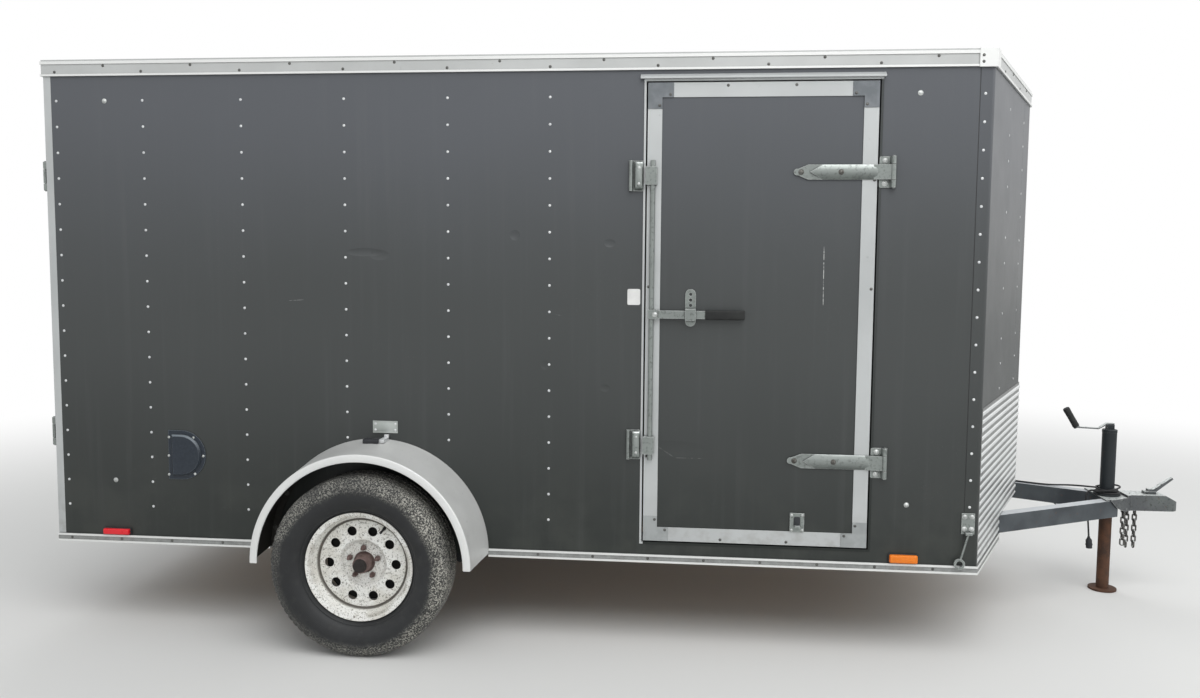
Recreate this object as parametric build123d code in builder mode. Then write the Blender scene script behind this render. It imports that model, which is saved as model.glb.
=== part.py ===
from build123d import *
from math import cos, hypot, radians, sin, sqrt, tan
import os

os.makedirs("parts", exist_ok=True)

# Enclosed cargo trailer with a V nose, single axle and drawbar jack.
# Millimetres. X forward to the coupler, Y to the left, Z up from the ground.
# The origin lies on the ground under the middle of the whole length.

# body box
box_length = 3658.0
box_width = 1829.0
box_height = 1940.0
base_z = 332.0
nose_depth = 430.0
wall = 38.0
roof_thick = 41.0
roof_drop = 4.0
floor_rise = 108.0
floor_thick = 19.0
wall_rise = 8.0
rear_depth = 30.0
rear_reach = 28.0
nose_wrap = 50.0
nose_sheet = 193.0
corner_bend = 14.0
apex_bend = 40.0

# drawbar
drawbar_reach = 715.0
tube_width = 50.8
tube_height = 76.2
end_gap = 31.7
gap_slope = 0.55
gusset_back = 176.0
gusset_wide = 60.0
gusset_lap = 30.0
gusset_sheet = 5.0

half = box_width / 2
rear_x = rear_reach - (rear_reach + box_length + nose_depth + drawbar_reach) / 2
corner_x = rear_x + box_length
apex_x = corner_x + nose_depth
tip_x = apex_x + drawbar_reach
facet_len = hypot(nose_depth, half)
along_x = nose_depth / facet_len
along_y = half / facet_len
top_z = base_z + box_height
floor_z = base_z + floor_rise
deck_z = floor_z + floor_thick
roof_z = top_z - roof_drop - roof_thick
wall_base = base_z + wall_rise

# ball coupler, its places measured back from its tip
ball_r = 25.65
ball_depth = 22.0
nose_r = 44.0
coupler_sheet = 6.0
channel_rise = 16.0
channel_depth = 56.0
cheek = 7.0
neck_half = 48.0
mouth_back = 289.0
neck_back = 214.0
channel_back = 235.0
plate_back = 353.0
cheek_back = 330.0
chain_bolt_r = 4.5
sweep_ahead = 60.0
sweep_back = 40.0
sweep_rise = 18.0
latch_back = 143.0
latch_long = 50.0

# safety chains: distance behind the tip, side place, number of links
chain_table = ((243.0, -40.0, 7), (201.0, 20.0, 8), (167.0, 20.0, 8))
link_wire = 7.0
link_pitch = 25.2
link_wide = 24.0
link_inner = 25.0

# drawbar jack
jack_back = 303.0
jack_r = 31.0
jack_bore = 27.6
jack_rise = 301.0
jack_tail = 10.0
leg_r = 27.0
leg_stop = 251.0
jack_foot = 60.0
foot_thick = 8.0
flange_r = 56.0
flange_thick = 8.0
crank_arm = 152.0
crank_wide = 20.0
grip_r = 13.5
grip_long = 100.0
grip_lean = radians(31)

# wheels and axle
tyre_r = 344.0
tyre_half = 102.5
tyre_facets = 72
rim_r = 208.0
rim_half = 70.0
flange_edge = 7.5
bead_r = 190.0
bead_gap = 0.5
hand_holes = 10
hand_hole_r = 19.0
hand_ring_r = 130.0
disc_out = 17.0
disc_sheet = 5.0
lug_count = 5
lug_ring_r = 57.15
lug_r = 6.35
lug_nut_r = 11.0
lug_nut_out = 17.0
lug_reach = 30.0
hub_r = 33.0
hub_out = 50.0
cap_out = 69.0
wheel_gap = 63.5
axle_back = 1352.0
axle_gap = 96.0
arm_gap = 9.0
arm_thick = 28.0
axle_tube_r = 30.0
spindle_r = 19.0
spindle_gap = 0.3
spring_half = 321.0
seat_gap = 4.0
eye_rise = 30.0
spring_wide = 44.0
leaf_thick = 7.0
eye_pin_r = 8.0
eye_r = 13.0
ear_inset = 26.0

# round fenders
fender_gap = 102.0
lip_gap = 81.0
fender_short = 33.5
fender_lip = 28.0
fender_sheet = 3.0

# under-frame
rail_width = 50.8
rail_height = 101.6
member_pitch = 406.4
member_half = 19.0

# edge trims and stone guard
trim_height = 64.0
trim_out = 5.0
lip_out = 8.0
lip_high = 8.0
trim_lap = 42.0
tube_cut_back = 200.0
skirt_height = 32.0
cap_reach = 58.0
guard_height = 596.0
guard_plate = 2.0
rib_pitch = 31.0
rib_out = 5.0

# doors: places measured from the front corner, the walls and the sills
side_door_back = 406.0
side_door_wide = 847.0
side_sill = 87.0
door_head = 66.0
rear_door_inset = 74.5
rear_gap = 3.0
door_gap = 6.0
jamb = 8.0
leaf_depth = 30.0
stile = 54.0
trim_proud = 3.0
drip_high = 18.0
drip_out = 16.0

# strap hinges, shared by all three doors
pin_out = 16.0
pin_off = 56.0
pin_r = 5.0
pin_gap = 0.3
knuckle_r = 9.0
strap_long = 304.0
strap_wide = 55.0
strap_face = 12.0
strap_plate = 3.0
strap_point = 53.0
ear_half = 57.0
ear_gap = 2.0
bracket_sheet = 5.0
side_hinge_down = 331.0
side_hinge_up = 328.0
rear_hinge_down = 343.0
rear_hinge_up = 319.0

# bar locks, shared by all three doors
rod_r = 9.5
rod_gap = 1.0
rod_edge = 22.0
rear_rod_y = 60.0
handle_up = 877.0
handle_long = 207.0
grip_bar = 142.0
handle_half = 15.0
hasp_off = 148.0
hasp_wide = 40.0
hasp_up = 97.0
hasp_down = 45.0
cam_down = 345.0
cam_up = 375.0
keeper_half = 57.0
catch_back = 288.0
catch_rise = 53.0

# lamps, vent and brackets along the side
vent_back = 484.0
vent_rise = 370.0
vent_r = 100.0
vent_flat = 56.0
vent_out = 14.0
vent_flange = 3.0
vent_edge = 17.0
amber_back = 324.0
amber_long = 110.0
amber_rise = 35.0
amber_out = 22.0
red_back = 199.0
red_long = 117.0
red_rise = 34.0
red_out = 20.0
lamp_high = 35.0
hold_back = 59.0
hold_rise = 154.0

# lamps on the rear
tail_inset = 174.5
tail_half = 80.0
tail_high = 50.0
tail_out = 22.0
id_pitch = 190.0
id_half = 26.0
id_drop = 88.0
id_high = 20.0
id_out = 14.0

# light cable
cord_d = 8.0
coil_inner = 33.0
coil_outer = 57.0
coil_high = 22.0
plug_r = 15.5
plug_long = 52.0
gland_r = 9.0
gland_back = 30.0
gland_rise = 22.0
hole_gap = 1.0


def outline(grow):
    """Plan outline of the box, grown outward by the given amount."""
    side = half + grow
    corner = corner_x + grow * (1 - along_x) / along_y
    apex = apex_x + grow / along_y
    rear = rear_x - grow
    return [(rear, -side), (corner, -side), (apex, 0), (corner, side), (rear, side)]


mouth_x = tip_x - mouth_back
tube_across = tube_width * sqrt(1 + gap_slope**2)


def gap(x):
    """Half of the clear width between the drawbar tubes."""
    return end_gap + gap_slope * (mouth_x - x)


def block(x0, x1, y0, y1, z0, z1, mode=Mode.ADD):
    """Axis-aligned block by its limits."""
    size = (x1 - x0, y1 - y0, z1 - z0)
    middle = ((x0 + x1) / 2, (y0 + y1) / 2, (z0 + z1) / 2)
    with Locations(middle):
        Box(*size, mode=mode)


def slab(points, z0, z1, mode=Mode.ADD):
    """Straight-walled slab over a plan outline."""
    with BuildSketch(Plane.XY.offset(z0)) as base:
        Polygon(*points, align=None)
    extrude(base.sketch, amount=z1 - z0, mode=mode)


def post(x, y, r, z0, z1, mode=Mode.ADD):
    """Upright round bar by its place and ends."""
    with BuildSketch(Plane.XY.offset(z0)) as base:
        with Locations((x, y)):
            Circle(r)
    extrude(base.sketch, amount=z1 - z0, mode=mode)


def cross_bar(x, z, r, y0, y1, mode=Mode.ADD):
    """Round bar across the trailer by its place and ends."""
    with BuildSketch(Plane.XZ.offset(-y0)) as base:
        with Locations((x, z)):
            Circle(r)
    extrude(base.sketch, amount=y0 - y1, mode=mode)


# under-frame: rails, sills, crossmembers, drawbar tubes under the floor
rail_in = half - wall - rail_width
frame_base = floor_z - rail_height
tube_base = floor_z - tube_height
axle_x = rear_x + axle_back
wheel_z = tyre_r
wheel_y = half + wheel_gap + tyre_half
tube_z = frame_base - axle_gap
seat_z = tube_z + axle_tube_r + seat_gap
eye_z = seat_z + eye_rise
spring_y = rail_in + rail_width / 2
deck_line = outline(-wall)
frame_rear = rear_x + rear_depth
deck_line[0] = (frame_rear, deck_line[0][1])
deck_line[4] = (frame_rear, deck_line[4][1])
tube_back_x = mouth_x - (rail_in - tube_across - end_gap) / gap_slope
member_count = int((box_length - rear_depth - rail_width) // member_pitch)
member_rows = [frame_rear + (i + 1) * member_pitch for i in range(member_count)]
with BuildPart() as main_frame:
    for side in (-1, 1):
        y0, y1 = sorted((side * rail_in, side * (rail_in + rail_width)))
        block(frame_rear, corner_x, y0, y1, frame_base, floor_z)
    block(frame_rear, frame_rear + rail_width, -rail_in, rail_in, frame_base, floor_z)
    block(corner_x - rail_width, corner_x, -rail_in, rail_in, frame_base, floor_z)
    for x in member_rows:
        block(x - member_half, x + member_half, -rail_in, rail_in, tube_base, floor_z)
    front_x = corner_x - rail_width / 2
    for side in (-1, 1):
        line = [
            (tube_back_x, side * gap(tube_back_x)),
            (front_x, side * gap(front_x)),
            (front_x, side * (gap(front_x) + tube_across)),
            (tube_back_x, side * (gap(tube_back_x) + tube_across)),
        ]
        slab(line, tube_base, floor_z)
    slab(deck_line, frame_base, floor_z, mode=Mode.INTERSECT)
    # spring hangers: two ears, a base plate and the eye pin
    for x in (axle_x + spring_half, axle_x - spring_half):
        for side in (-1, 1):
            for ear in (-ear_inset, ear_inset):
                y = side * spring_y + ear
                with BuildSketch(Plane.XZ.offset(-y - 2.5)):
                    Polygon((x - 28, frame_base), (x + 28, frame_base), (x + 15, eye_z),
                            (x - 15, eye_z), align=None)
                    with Locations((x, eye_z)):
                        Circle(15)
                extrude(amount=5)
            edge = side * spring_y
            block(x - 28, x + 28, edge - 28.5, edge + 28.5, frame_base - 6, frame_base)
            cross_bar(x, eye_z, eye_pin_r, edge - 30, edge + 30)

# drawbar: two tubes ahead of the front sill, a gusset behind the jack
jack_x = tip_x - jack_back
gusset_x = jack_x - gusset_back
with BuildPart() as tongue:
    for side in (-1, 1):
        line = [
            (corner_x, side * gap(corner_x)),
            (mouth_x, side * gap(mouth_x)),
            (mouth_x, side * (gap(mouth_x) + tube_across)),
            (corner_x, side * (gap(corner_x) + tube_across)),
        ]
        slab(line, tube_base, floor_z)
    gusset_end = gusset_x + gusset_wide
    slab([(gusset_x, -gap(gusset_x) - gusset_lap), (gusset_end, -gap(gusset_end) - gusset_lap),
          (gusset_end, gap(gusset_end) + gusset_lap), (gusset_x, gap(gusset_x) + gusset_lap)],
         tube_base - gusset_sheet, tube_base)

# ball coupler: top plate over the tube ends, cheeks beside them, hollow channel, socket
plate_x = tip_x - plate_back
channel_x = tip_x - channel_back
neck_x = tip_x - neck_back
ball_x = tip_x - nose_r
plate_top = floor_z + coupler_sheet
channel_top = floor_z + channel_rise
channel_base = floor_z - channel_depth
mouth_half = gap(mouth_x) + tube_across
cheek_x = tip_x - cheek_back
chain_z = channel_base + 4


def cheek_face(back):
    """Half width over the coupler's cheeks at a distance behind its tip."""
    ends = (mouth_back, mouth_half + cheek, neck_back, neck_half)
    if back < neck_back:
        ends = (neck_back, neck_half, nose_r, nose_r)
    rear, rear_wide, front, front_wide = ends
    return front_wide + (rear_wide - front_wide) * (back - front) / (rear - front)


with BuildPart() as coupler:
    with BuildSketch(Plane.XY.offset(channel_base)):
        Polygon((cheek_x, -gap(cheek_x) - tube_across - cheek), (mouth_x, -mouth_half - cheek),
                (neck_x, -neck_half), (ball_x, -nose_r), (ball_x, nose_r), (neck_x, neck_half),
                (mouth_x, mouth_half + cheek), (cheek_x, gap(cheek_x) + tube_across + cheek),
                align=None)
        with Locations((ball_x, 0)):
            Circle(nose_r)
    extrude(amount=channel_top - channel_base)
    # full height only ahead of the jack
    block(cheek_x - 1, channel_x, -2 * mouth_half, 2 * mouth_half, plate_top, channel_top + 1,
          mode=Mode.SUBTRACT)
    # room for the tube ends, open to the rear and below
    throat_x = ball_x - nose_r + 2
    slab([(cheek_x - 1, -gap(cheek_x - 1) - tube_across - 0.2), (mouth_x, -mouth_half - 0.2),
          (neck_x, -neck_half + cheek), (throat_x, -nose_r + cheek), (throat_x, nose_r - cheek),
          (neck_x, neck_half - cheek), (mouth_x, mouth_half + 0.2),
          (cheek_x - 1, gap(cheek_x - 1) + tube_across + 0.2)], channel_base, floor_z,
         mode=Mode.SUBTRACT)
    slab([(channel_x + coupler_sheet, -nose_r + cheek), (throat_x, -nose_r + cheek),
          (throat_x, nose_r - cheek), (channel_x + coupler_sheet, nose_r - cheek)],
         floor_z, channel_top - coupler_sheet, mode=Mode.SUBTRACT)
    slab([(plate_x, -gap(plate_x) - tube_across), (mouth_x, -mouth_half),
          (mouth_x + 20, -mouth_half), (mouth_x + 20, mouth_half), (mouth_x, mouth_half),
          (plate_x, gap(plate_x) + tube_across)], floor_z, plate_top)
    with Locations((jack_x, 0, floor_z + coupler_sheet / 2)):
        Cylinder(jack_r + hole_gap, 20, mode=Mode.SUBTRACT)
    # cheeks sweep down to the front in a long curve, and the nose slopes over the ball
    sweep_x = mouth_x + sweep_ahead
    with BuildSketch(Plane.XZ.offset(-2 * mouth_half)):
        with BuildLine():
            Line((cheek_x - 2, channel_base - 1), (cheek_x - 2, floor_z - 2))
            Line((cheek_x - 2, floor_z - 2), (cheek_x + 4, floor_z - 2))
            ThreePointArc((cheek_x + 4, floor_z - 2),
                          (cheek_x + sweep_back, channel_base + sweep_rise),
                          (sweep_x, channel_base - 1))
            Line((sweep_x, channel_base - 1), (cheek_x - 2, channel_base - 1))
        make_face()
    extrude(amount=4 * mouth_half, mode=Mode.SUBTRACT)
    with BuildSketch(Plane.XZ.offset(-2 * nose_r)):
        Polygon((ball_x - 20, channel_top + 1), (tip_x + 1, channel_top + 1),
                (tip_x + 1, channel_top - 34), (tip_x - 12, channel_top - 28), align=None)
    extrude(amount=4 * nose_r, mode=Mode.SUBTRACT)
    post(ball_x, 0, ball_r, channel_base, channel_base + ball_depth, mode=Mode.SUBTRACT)
    with Locations((ball_x, 0, channel_base + ball_depth)):
        Sphere(ball_r, mode=Mode.SUBTRACT)
    # chain bolts across the channel
    bolt_z = chain_z + 8
    for back, y, count in chain_table:
        reach = cheek_face(back) - 1
        cross_bar(tip_x - back, bolt_z, chain_bolt_r, -reach, reach)
    # latch: low housing and a lever raised forward
    latch_x = tip_x - latch_back
    block(latch_x, latch_x + latch_long, -16, 16, channel_top - 2, channel_top + 12)
    with BuildSketch(Plane.XZ.offset(-12)):
        Polygon((latch_x + 16, channel_top + 8), (latch_x + latch_long, channel_top + 8),
                (latch_x + 124, channel_top + 70), (latch_x + 118, channel_top + 78),
                (latch_x + 40, channel_top + 22), (latch_x + 16, channel_top + 22), align=None)
    extrude(amount=24)

# safety chains: flattened links, each turned a quarter from the last and seated in it
with BuildPart() as link:
    with BuildLine(Plane.XZ) as link_line:
        reach = (link_inner + link_wire) / 2
        across = (link_wide - link_wire) / 2
        bend = across * 0.6
        Polyline((-across, bend - reach), (-across, reach - bend), (bend - across, reach),
                 (across - bend, reach), (across, reach - bend), (across, bend - reach),
                 (across - bend, -reach), (bend - across, -reach), close=True)
    with BuildSketch(Plane.XY):
        with Locations((-across, 0)):
            RegularPolygon(link_wire / 2, 6)
    sweep(path=link_line.line, transition=Transition.RIGHT)
with BuildPart() as safety_chains:
    for back, y, count in chain_table:
        for i in range(count):
            place = (tip_x - back, y, chain_z - i * link_pitch)
            add(link.part.moved(Location(place, (0, 0, 90 * (i % 2)))))

# jack: outer tube with flange and cap
jack_top = floor_z + jack_rise
with BuildPart() as jack_tube:
    post(jack_x, 0, jack_r, tube_base - jack_tail, jack_top)
    post(jack_x, 0, flange_r, plate_top, plate_top + flange_thick)
    post(jack_x, 0, jack_bore, tube_base - jack_tail, jack_top, mode=Mode.SUBTRACT)
    post(jack_x, 0, jack_r + 1, jack_top - 5, jack_top + 8)
    fillet(edges().group_by(Axis.Z)[-1], 3)
    block(jack_x - 15, jack_x + 15, -14, 14, jack_top + 7, jack_top + 30)

# top-wind crank: arm with an offset, leaning grip
with BuildPart() as jack_crank:
    arm_end = jack_x - crank_arm
    with BuildSketch(Plane.XZ.offset(-crank_wide / 2)):
        Polygon((jack_x + 16, jack_top + 30), (jack_x - 16, jack_top + 30),
                (jack_x - 52, jack_top + 8), (arm_end, jack_top + 12), (arm_end, jack_top + 18),
                (jack_x - 50, jack_top + 14), (jack_x - 18, jack_top + 37),
                (jack_x + 16, jack_top + 37), align=None)
    extrude(amount=crank_wide)
    grip_plane = Plane(origin=(arm_end + 6, 0, jack_top + 14), x_dir=(0, 1, 0),
                       z_dir=(-sin(grip_lean), 0, cos(grip_lean)))
    with BuildSketch(grip_plane):
        Circle(grip_r)
    extrude(amount=grip_long)
    fillet(edges().filter_by(GeomType.CIRCLE).sort_by(Axis.Z)[-1], 3)

# sliding leg and foot plate
with BuildPart() as jack_leg:
    post(jack_x, 0, leg_r, foot_thick / 2, jack_top - leg_stop)
    post(jack_x, 0, jack_foot, 0, foot_thick)

# drop axle: tube, drop arms, spindles, spring seats
with BuildPart() as axle:
    arm_y = half + arm_gap
    cross_bar(axle_x, tube_z, axle_tube_r, -arm_y - arm_thick / 2, arm_y + arm_thick / 2)
    for side in (-1, 1):
        with BuildSketch(Plane.XZ.offset(-side * arm_y)):
            with Locations((axle_x, tube_z)):
                Circle(axle_tube_r + 8)
            with Locations((axle_x, wheel_z)):
                Circle(axle_tube_r + 4)
            block_high = wheel_z - tube_z
            with Locations((axle_x, tube_z + block_high / 2)):
                Rectangle(2 * axle_tube_r + 8, block_high)
        extrude(amount=-side * arm_thick)
        edge = side * spring_y
        block(axle_x - 40, axle_x + 40, edge - 28, edge + 28, seat_z - 16, seat_z)
        y0, y1 = sorted((side * (arm_y + arm_thick / 2), side * (wheel_y + hub_out - 2)))
        cross_bar(axle_x, wheel_z, spindle_r, y0, y1)

# leaf springs: three stepped leaves, a main leaf with eyes, a clamp plate
leaf_table = ((0, 150.0), (1, 210.0), (2, 265.0))
with BuildPart() as leaf_springs:
    for side in (-1, 1):
        edge = side * spring_y
        for i, reach in leaf_table:
            block(axle_x - reach, axle_x + reach, edge - spring_wide / 2, edge + spring_wide / 2,
                  seat_z + i * leaf_thick, seat_z + (i + 1) * leaf_thick)
        with BuildSketch(Plane.XZ.offset(-edge - spring_wide / 2)):
            with Locations((axle_x, seat_z + 3.5 * leaf_thick)):
                Rectangle(2 * spring_half, leaf_thick)
            with Locations((axle_x - spring_half, eye_z), (axle_x + spring_half, eye_z)):
                Circle(eye_r)
                Circle(eye_pin_r + spindle_gap, mode=Mode.SUBTRACT)
        extrude(amount=spring_wide)
        block(axle_x - 45, axle_x + 45, edge - 30, edge + 30,
              seat_z + 4 * leaf_thick, seat_z + 5 * leaf_thick)

# floor deck between the walls, with its V end
with BuildPart() as floor:
    slab(deck_line, floor_z, deck_z)

# side walls: each runs from the rear frame to the lap of the nose sheet
side_x1 = corner_x - side_door_back
side_x0 = side_x1 - side_door_wide
side_z0 = base_z + side_sill
side_z1 = roof_z - door_head
reveal = door_gap + jamb
with BuildPart() as right_wall:
    block(frame_rear, corner_x - nose_wrap, -half, -half + wall, wall_base, roof_z)
    block(side_x0 - reveal, side_x1 + reveal, -half - 1, -half + wall + 1, side_z0 - reveal,
          side_z1 + reveal, mode=Mode.SUBTRACT)
with BuildPart() as left_wall:
    block(frame_rear, corner_x - nose_wrap, half - wall, half, wall_base, roof_z)

# nose walls: a sheet wraps each side corner, a third one bends round the apex
outer_line = outline(0)
inner_line = outline(-wall)
seam = 1 - nose_sheet / facet_len
seam_x = corner_x + nose_depth * seam
seam_y = half * (1 - seam)
seam_in = (seam_x - wall * along_y, seam_y - wall * along_x)
cut_x = corner_x - tube_cut_back
tube_cut = [(cut_x, gap(cut_x) + tube_across), (mouth_x, gap(mouth_x) + tube_across),
            (mouth_x, -gap(mouth_x) - tube_across), (cut_x, -gap(cut_x) - tube_across)]

# the light cable leaves the left facet in line with the drawbar tube below it
tube_run = sqrt(1 + gap_slope**2)
run_x = 1 / tube_run
run_y = -gap_slope / tube_run
middle_y = end_gap + tube_across / 2 + gap_slope * mouth_x
facet_slope = half / nose_depth
gland_x = (facet_slope * apex_x - middle_y) / (facet_slope - gap_slope)
gland_y = middle_y - gap_slope * gland_x
gland_z = floor_z + gland_rise
gland_plane = Plane(origin=(gland_x, gland_y, gland_z), x_dir=(run_y, -run_x, 0),
                    z_dir=(run_x, run_y, 0))

with BuildPart() as nose_right:
    with BuildSketch(Plane.XY.offset(wall_base)):
        with BuildLine():
            Polyline((corner_x - nose_wrap, -half), outer_line[1], (seam_x, -seam_y),
                     (seam_in[0], -seam_in[1]), inner_line[1],
                     (corner_x - nose_wrap, -half + wall), close=True)
        make_face()
        fillet(vertices().sort_by(Axis.Y)[:2].sort_by(Axis.X)[-1:], corner_bend)
    extrude(amount=roof_z - wall_base)
    slab(tube_cut, wall_base - 1, floor_z, mode=Mode.SUBTRACT)
with BuildPart() as nose_left:
    mirror(nose_right.part, about=Plane.XZ)
    with BuildSketch(gland_plane.offset(-gland_back)):
        Circle(gland_r)
    extrude(amount=2 * gland_back)
with BuildPart() as nose_centre:
    with BuildSketch(Plane.XY.offset(floor_z)):
        with BuildLine():
            Polyline((seam_x, -seam_y), outer_line[2], (seam_x, seam_y), seam_in, inner_line[2],
                     (seam_in[0], -seam_in[1]), close=True)
        make_face()
        fillet(vertices().sort_by(Axis.X)[-1:], apex_bend)
    extrude(amount=roof_z - floor_z)

# roof slab
with BuildPart() as roof:
    top_line = outline(0)
    with BuildSketch(Plane.XY.offset(roof_z)):
        Polygon((frame_rear, -half), *top_line[1:4], (frame_rear, half), align=None)
        fillet(vertices().sort_by(Axis.X)[-1:], apex_bend)
    extrude(amount=roof_thick)

# rear door frame
rear_y1 = half - rear_door_inset
rear_z0 = deck_z + door_gap
rear_z1 = roof_z - door_head
with BuildPart() as rear_frame:
    block(rear_x, frame_rear, -half, half, wall_base, roof_z + roof_thick)
    block(rear_x - 1, frame_rear + 1, -rear_y1 - door_gap, rear_y1 + door_gap,
          rear_z0 - door_gap, rear_z1 + door_gap, mode=Mode.SUBTRACT)

# top trim: flat band with two raised lips and a flange over the roof edge
# bands: outward reach, inner edge, lower z, upper z
trim_base = top_z - trim_height
with BuildPart() as top_trim:
    for out, inset, z0, z1 in (
        (trim_out, 0.0, trim_base, top_z),
        (lip_out, 0.0, trim_base, trim_base + lip_high),
        (lip_out, 0.0, top_z - 18, top_z - 6),
        (trim_out, -trim_lap, top_z - roof_drop, top_z),
    ):
        with BuildSketch(Plane.XY.offset(z0)):
            Polygon(*outline(out), align=None)
            fillet(vertices().sort_by(Axis.X)[-1:], apex_bend)
            with BuildSketch(mode=Mode.PRIVATE) as hole:
                Polygon(*outline(inset), align=None)
                fillet(hole.vertices().sort_by(Axis.X)[-1:], apex_bend)
            add(hole.sketch, mode=Mode.SUBTRACT)
        extrude(amount=z1 - z0)
    # cast caps over the joints at the two side corners
    for side in (-1, 1):
        with BuildSketch(Plane.XY.offset(trim_base - 2)):
            Polygon(*outline(lip_out + 2), align=None)
            with Locations((corner_x, side * half)):
                Circle(cap_reach, mode=Mode.INTERSECT)
            Polygon(*outline(trim_out - 1), align=None, mode=Mode.SUBTRACT)
        extrude(amount=top_z - trim_base + 2)
        with BuildSketch(Plane.XY.offset(trim_base - 2)):
            Polygon(*outline(trim_out), align=None)
            with Locations((corner_x, side * half)):
                Circle(cap_reach, mode=Mode.INTERSECT)
            Polygon(*outline(0.0), align=None, mode=Mode.SUBTRACT)
        extrude(amount=2)

# bottom trim: along both sides clear of the fenders, and on the facets up to the drawbar
fender_wall_r = tyre_r + fender_gap
with BuildPart() as bottom_trim:
    for out, z0, z1 in (
        (trim_out, base_z, base_z + skirt_height),
        (lip_out, base_z, base_z + lip_high),
        (lip_out, base_z + skirt_height - lip_high, base_z + skirt_height),
    ):
        with BuildSketch(Plane.XY.offset(z0)):
            Polygon(*outline(out), align=None)
            Polygon(*outline(0), align=None, mode=Mode.SUBTRACT)
        extrude(amount=z1 - z0)
    above = base_z + skirt_height + lip_high
    block(rear_x - 20, rear_x, -half - 20, half + 20, base_z - 1, above, mode=Mode.SUBTRACT)
    slab(tube_cut, base_z - 1, above, mode=Mode.SUBTRACT)
    block(axle_x - fender_wall_r, axle_x + fender_wall_r, -half - 20, half + 20,
          base_z - 1, above, mode=Mode.SUBTRACT)

# stone guard: ribbed sheet over both facets
guard_z0 = base_z + skirt_height
guard_z1 = guard_z0 + guard_height
facet_plane = Plane(origin=(corner_x, -half, 0), x_dir=(-along_y, along_x, 0),
                    z_dir=(along_x, along_y, 0))
with BuildPart() as guard_side:
    with BuildSketch(facet_plane.offset(corner_bend / 2)):
        with BuildLine():
            profile = [(0, guard_z0), (-guard_plate, guard_z0)]
            for i in range(int(guard_height // rib_pitch)):
                low = guard_z0 + i * rib_pitch
                profile += [(-guard_plate, low + 7), (-rib_out, low + 13),
                            (-rib_out, low + 21), (-guard_plate, low + 27)]
            profile += [(-guard_plate, guard_z1), (0, guard_z1)]
            Polyline(*profile, close=True)
        make_face()
    extrude(amount=facet_len)
    split(bisect_by=Plane.XZ, keep=Keep.TOP)
with BuildPart() as stone_guard:
    add(guard_side.part)
    mirror(guard_side.part, about=Plane.XZ)
    slab(tube_cut, guard_z0 - 1, floor_z + roof_drop, mode=Mode.SUBTRACT)
    with BuildSketch(gland_plane.offset(-gland_back)):
        Circle(gland_r + hole_gap)
    extrude(amount=2 * gland_back, mode=Mode.SUBTRACT)

# side door frame: ring through the wall, with a drip rail over it
with BuildPart() as side_door_frame:
    block(side_x0 - reveal, side_x1 + reveal, -half - trim_proud, -half + wall,
          side_z0 - reveal, side_z1 + reveal)
    block(side_x0 - door_gap, side_x1 + door_gap, -half - trim_proud - 1, -half + wall + 1,
          side_z0 - door_gap, side_z1 + door_gap, mode=Mode.SUBTRACT)
    rail_z = side_z1 + reveal
    with BuildSketch(Plane.YZ.offset(side_x0 - 2 * reveal)):
        Polygon((-half, rail_z), (-half - drip_out, rail_z), (-half - drip_out, rail_z + 6),
                (-half, rail_z + drip_high), align=None)
    extrude(amount=side_door_wide + 3.5 * reveal)

# side door leaf and the flat trim round its edge
with BuildPart() as side_door:
    block(side_x0, side_x1, -half, -half + leaf_depth, side_z0, side_z1)
with BuildPart() as side_door_trim:
    block(side_x0, side_x1, -half - trim_proud, -half, side_z0, side_z1)
    block(side_x0 + stile, side_x1 - stile, -half - trim_proud - 1, -half + 1,
          side_z0 + stile, side_z1 - stile, mode=Mode.SUBTRACT)

# rear doors
with BuildPart() as rear_door_right:
    block(rear_x, rear_x + leaf_depth, -rear_y1, -rear_gap, rear_z0, rear_z1)
with BuildPart() as rear_trim_right:
    block(rear_x - trim_proud, rear_x, -rear_y1, -rear_gap, rear_z0, rear_z1)
    block(rear_x - trim_proud - 1, rear_x + 1, -rear_y1 + stile, -rear_gap - stile,
          rear_z0 + stile, rear_z1 - stile, mode=Mode.SUBTRACT)
with BuildPart() as rear_door_left:
    mirror(rear_door_right.part, about=Plane.XZ)
with BuildPart() as rear_trim_left:
    mirror(rear_trim_right.part, about=Plane.XZ)

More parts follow.
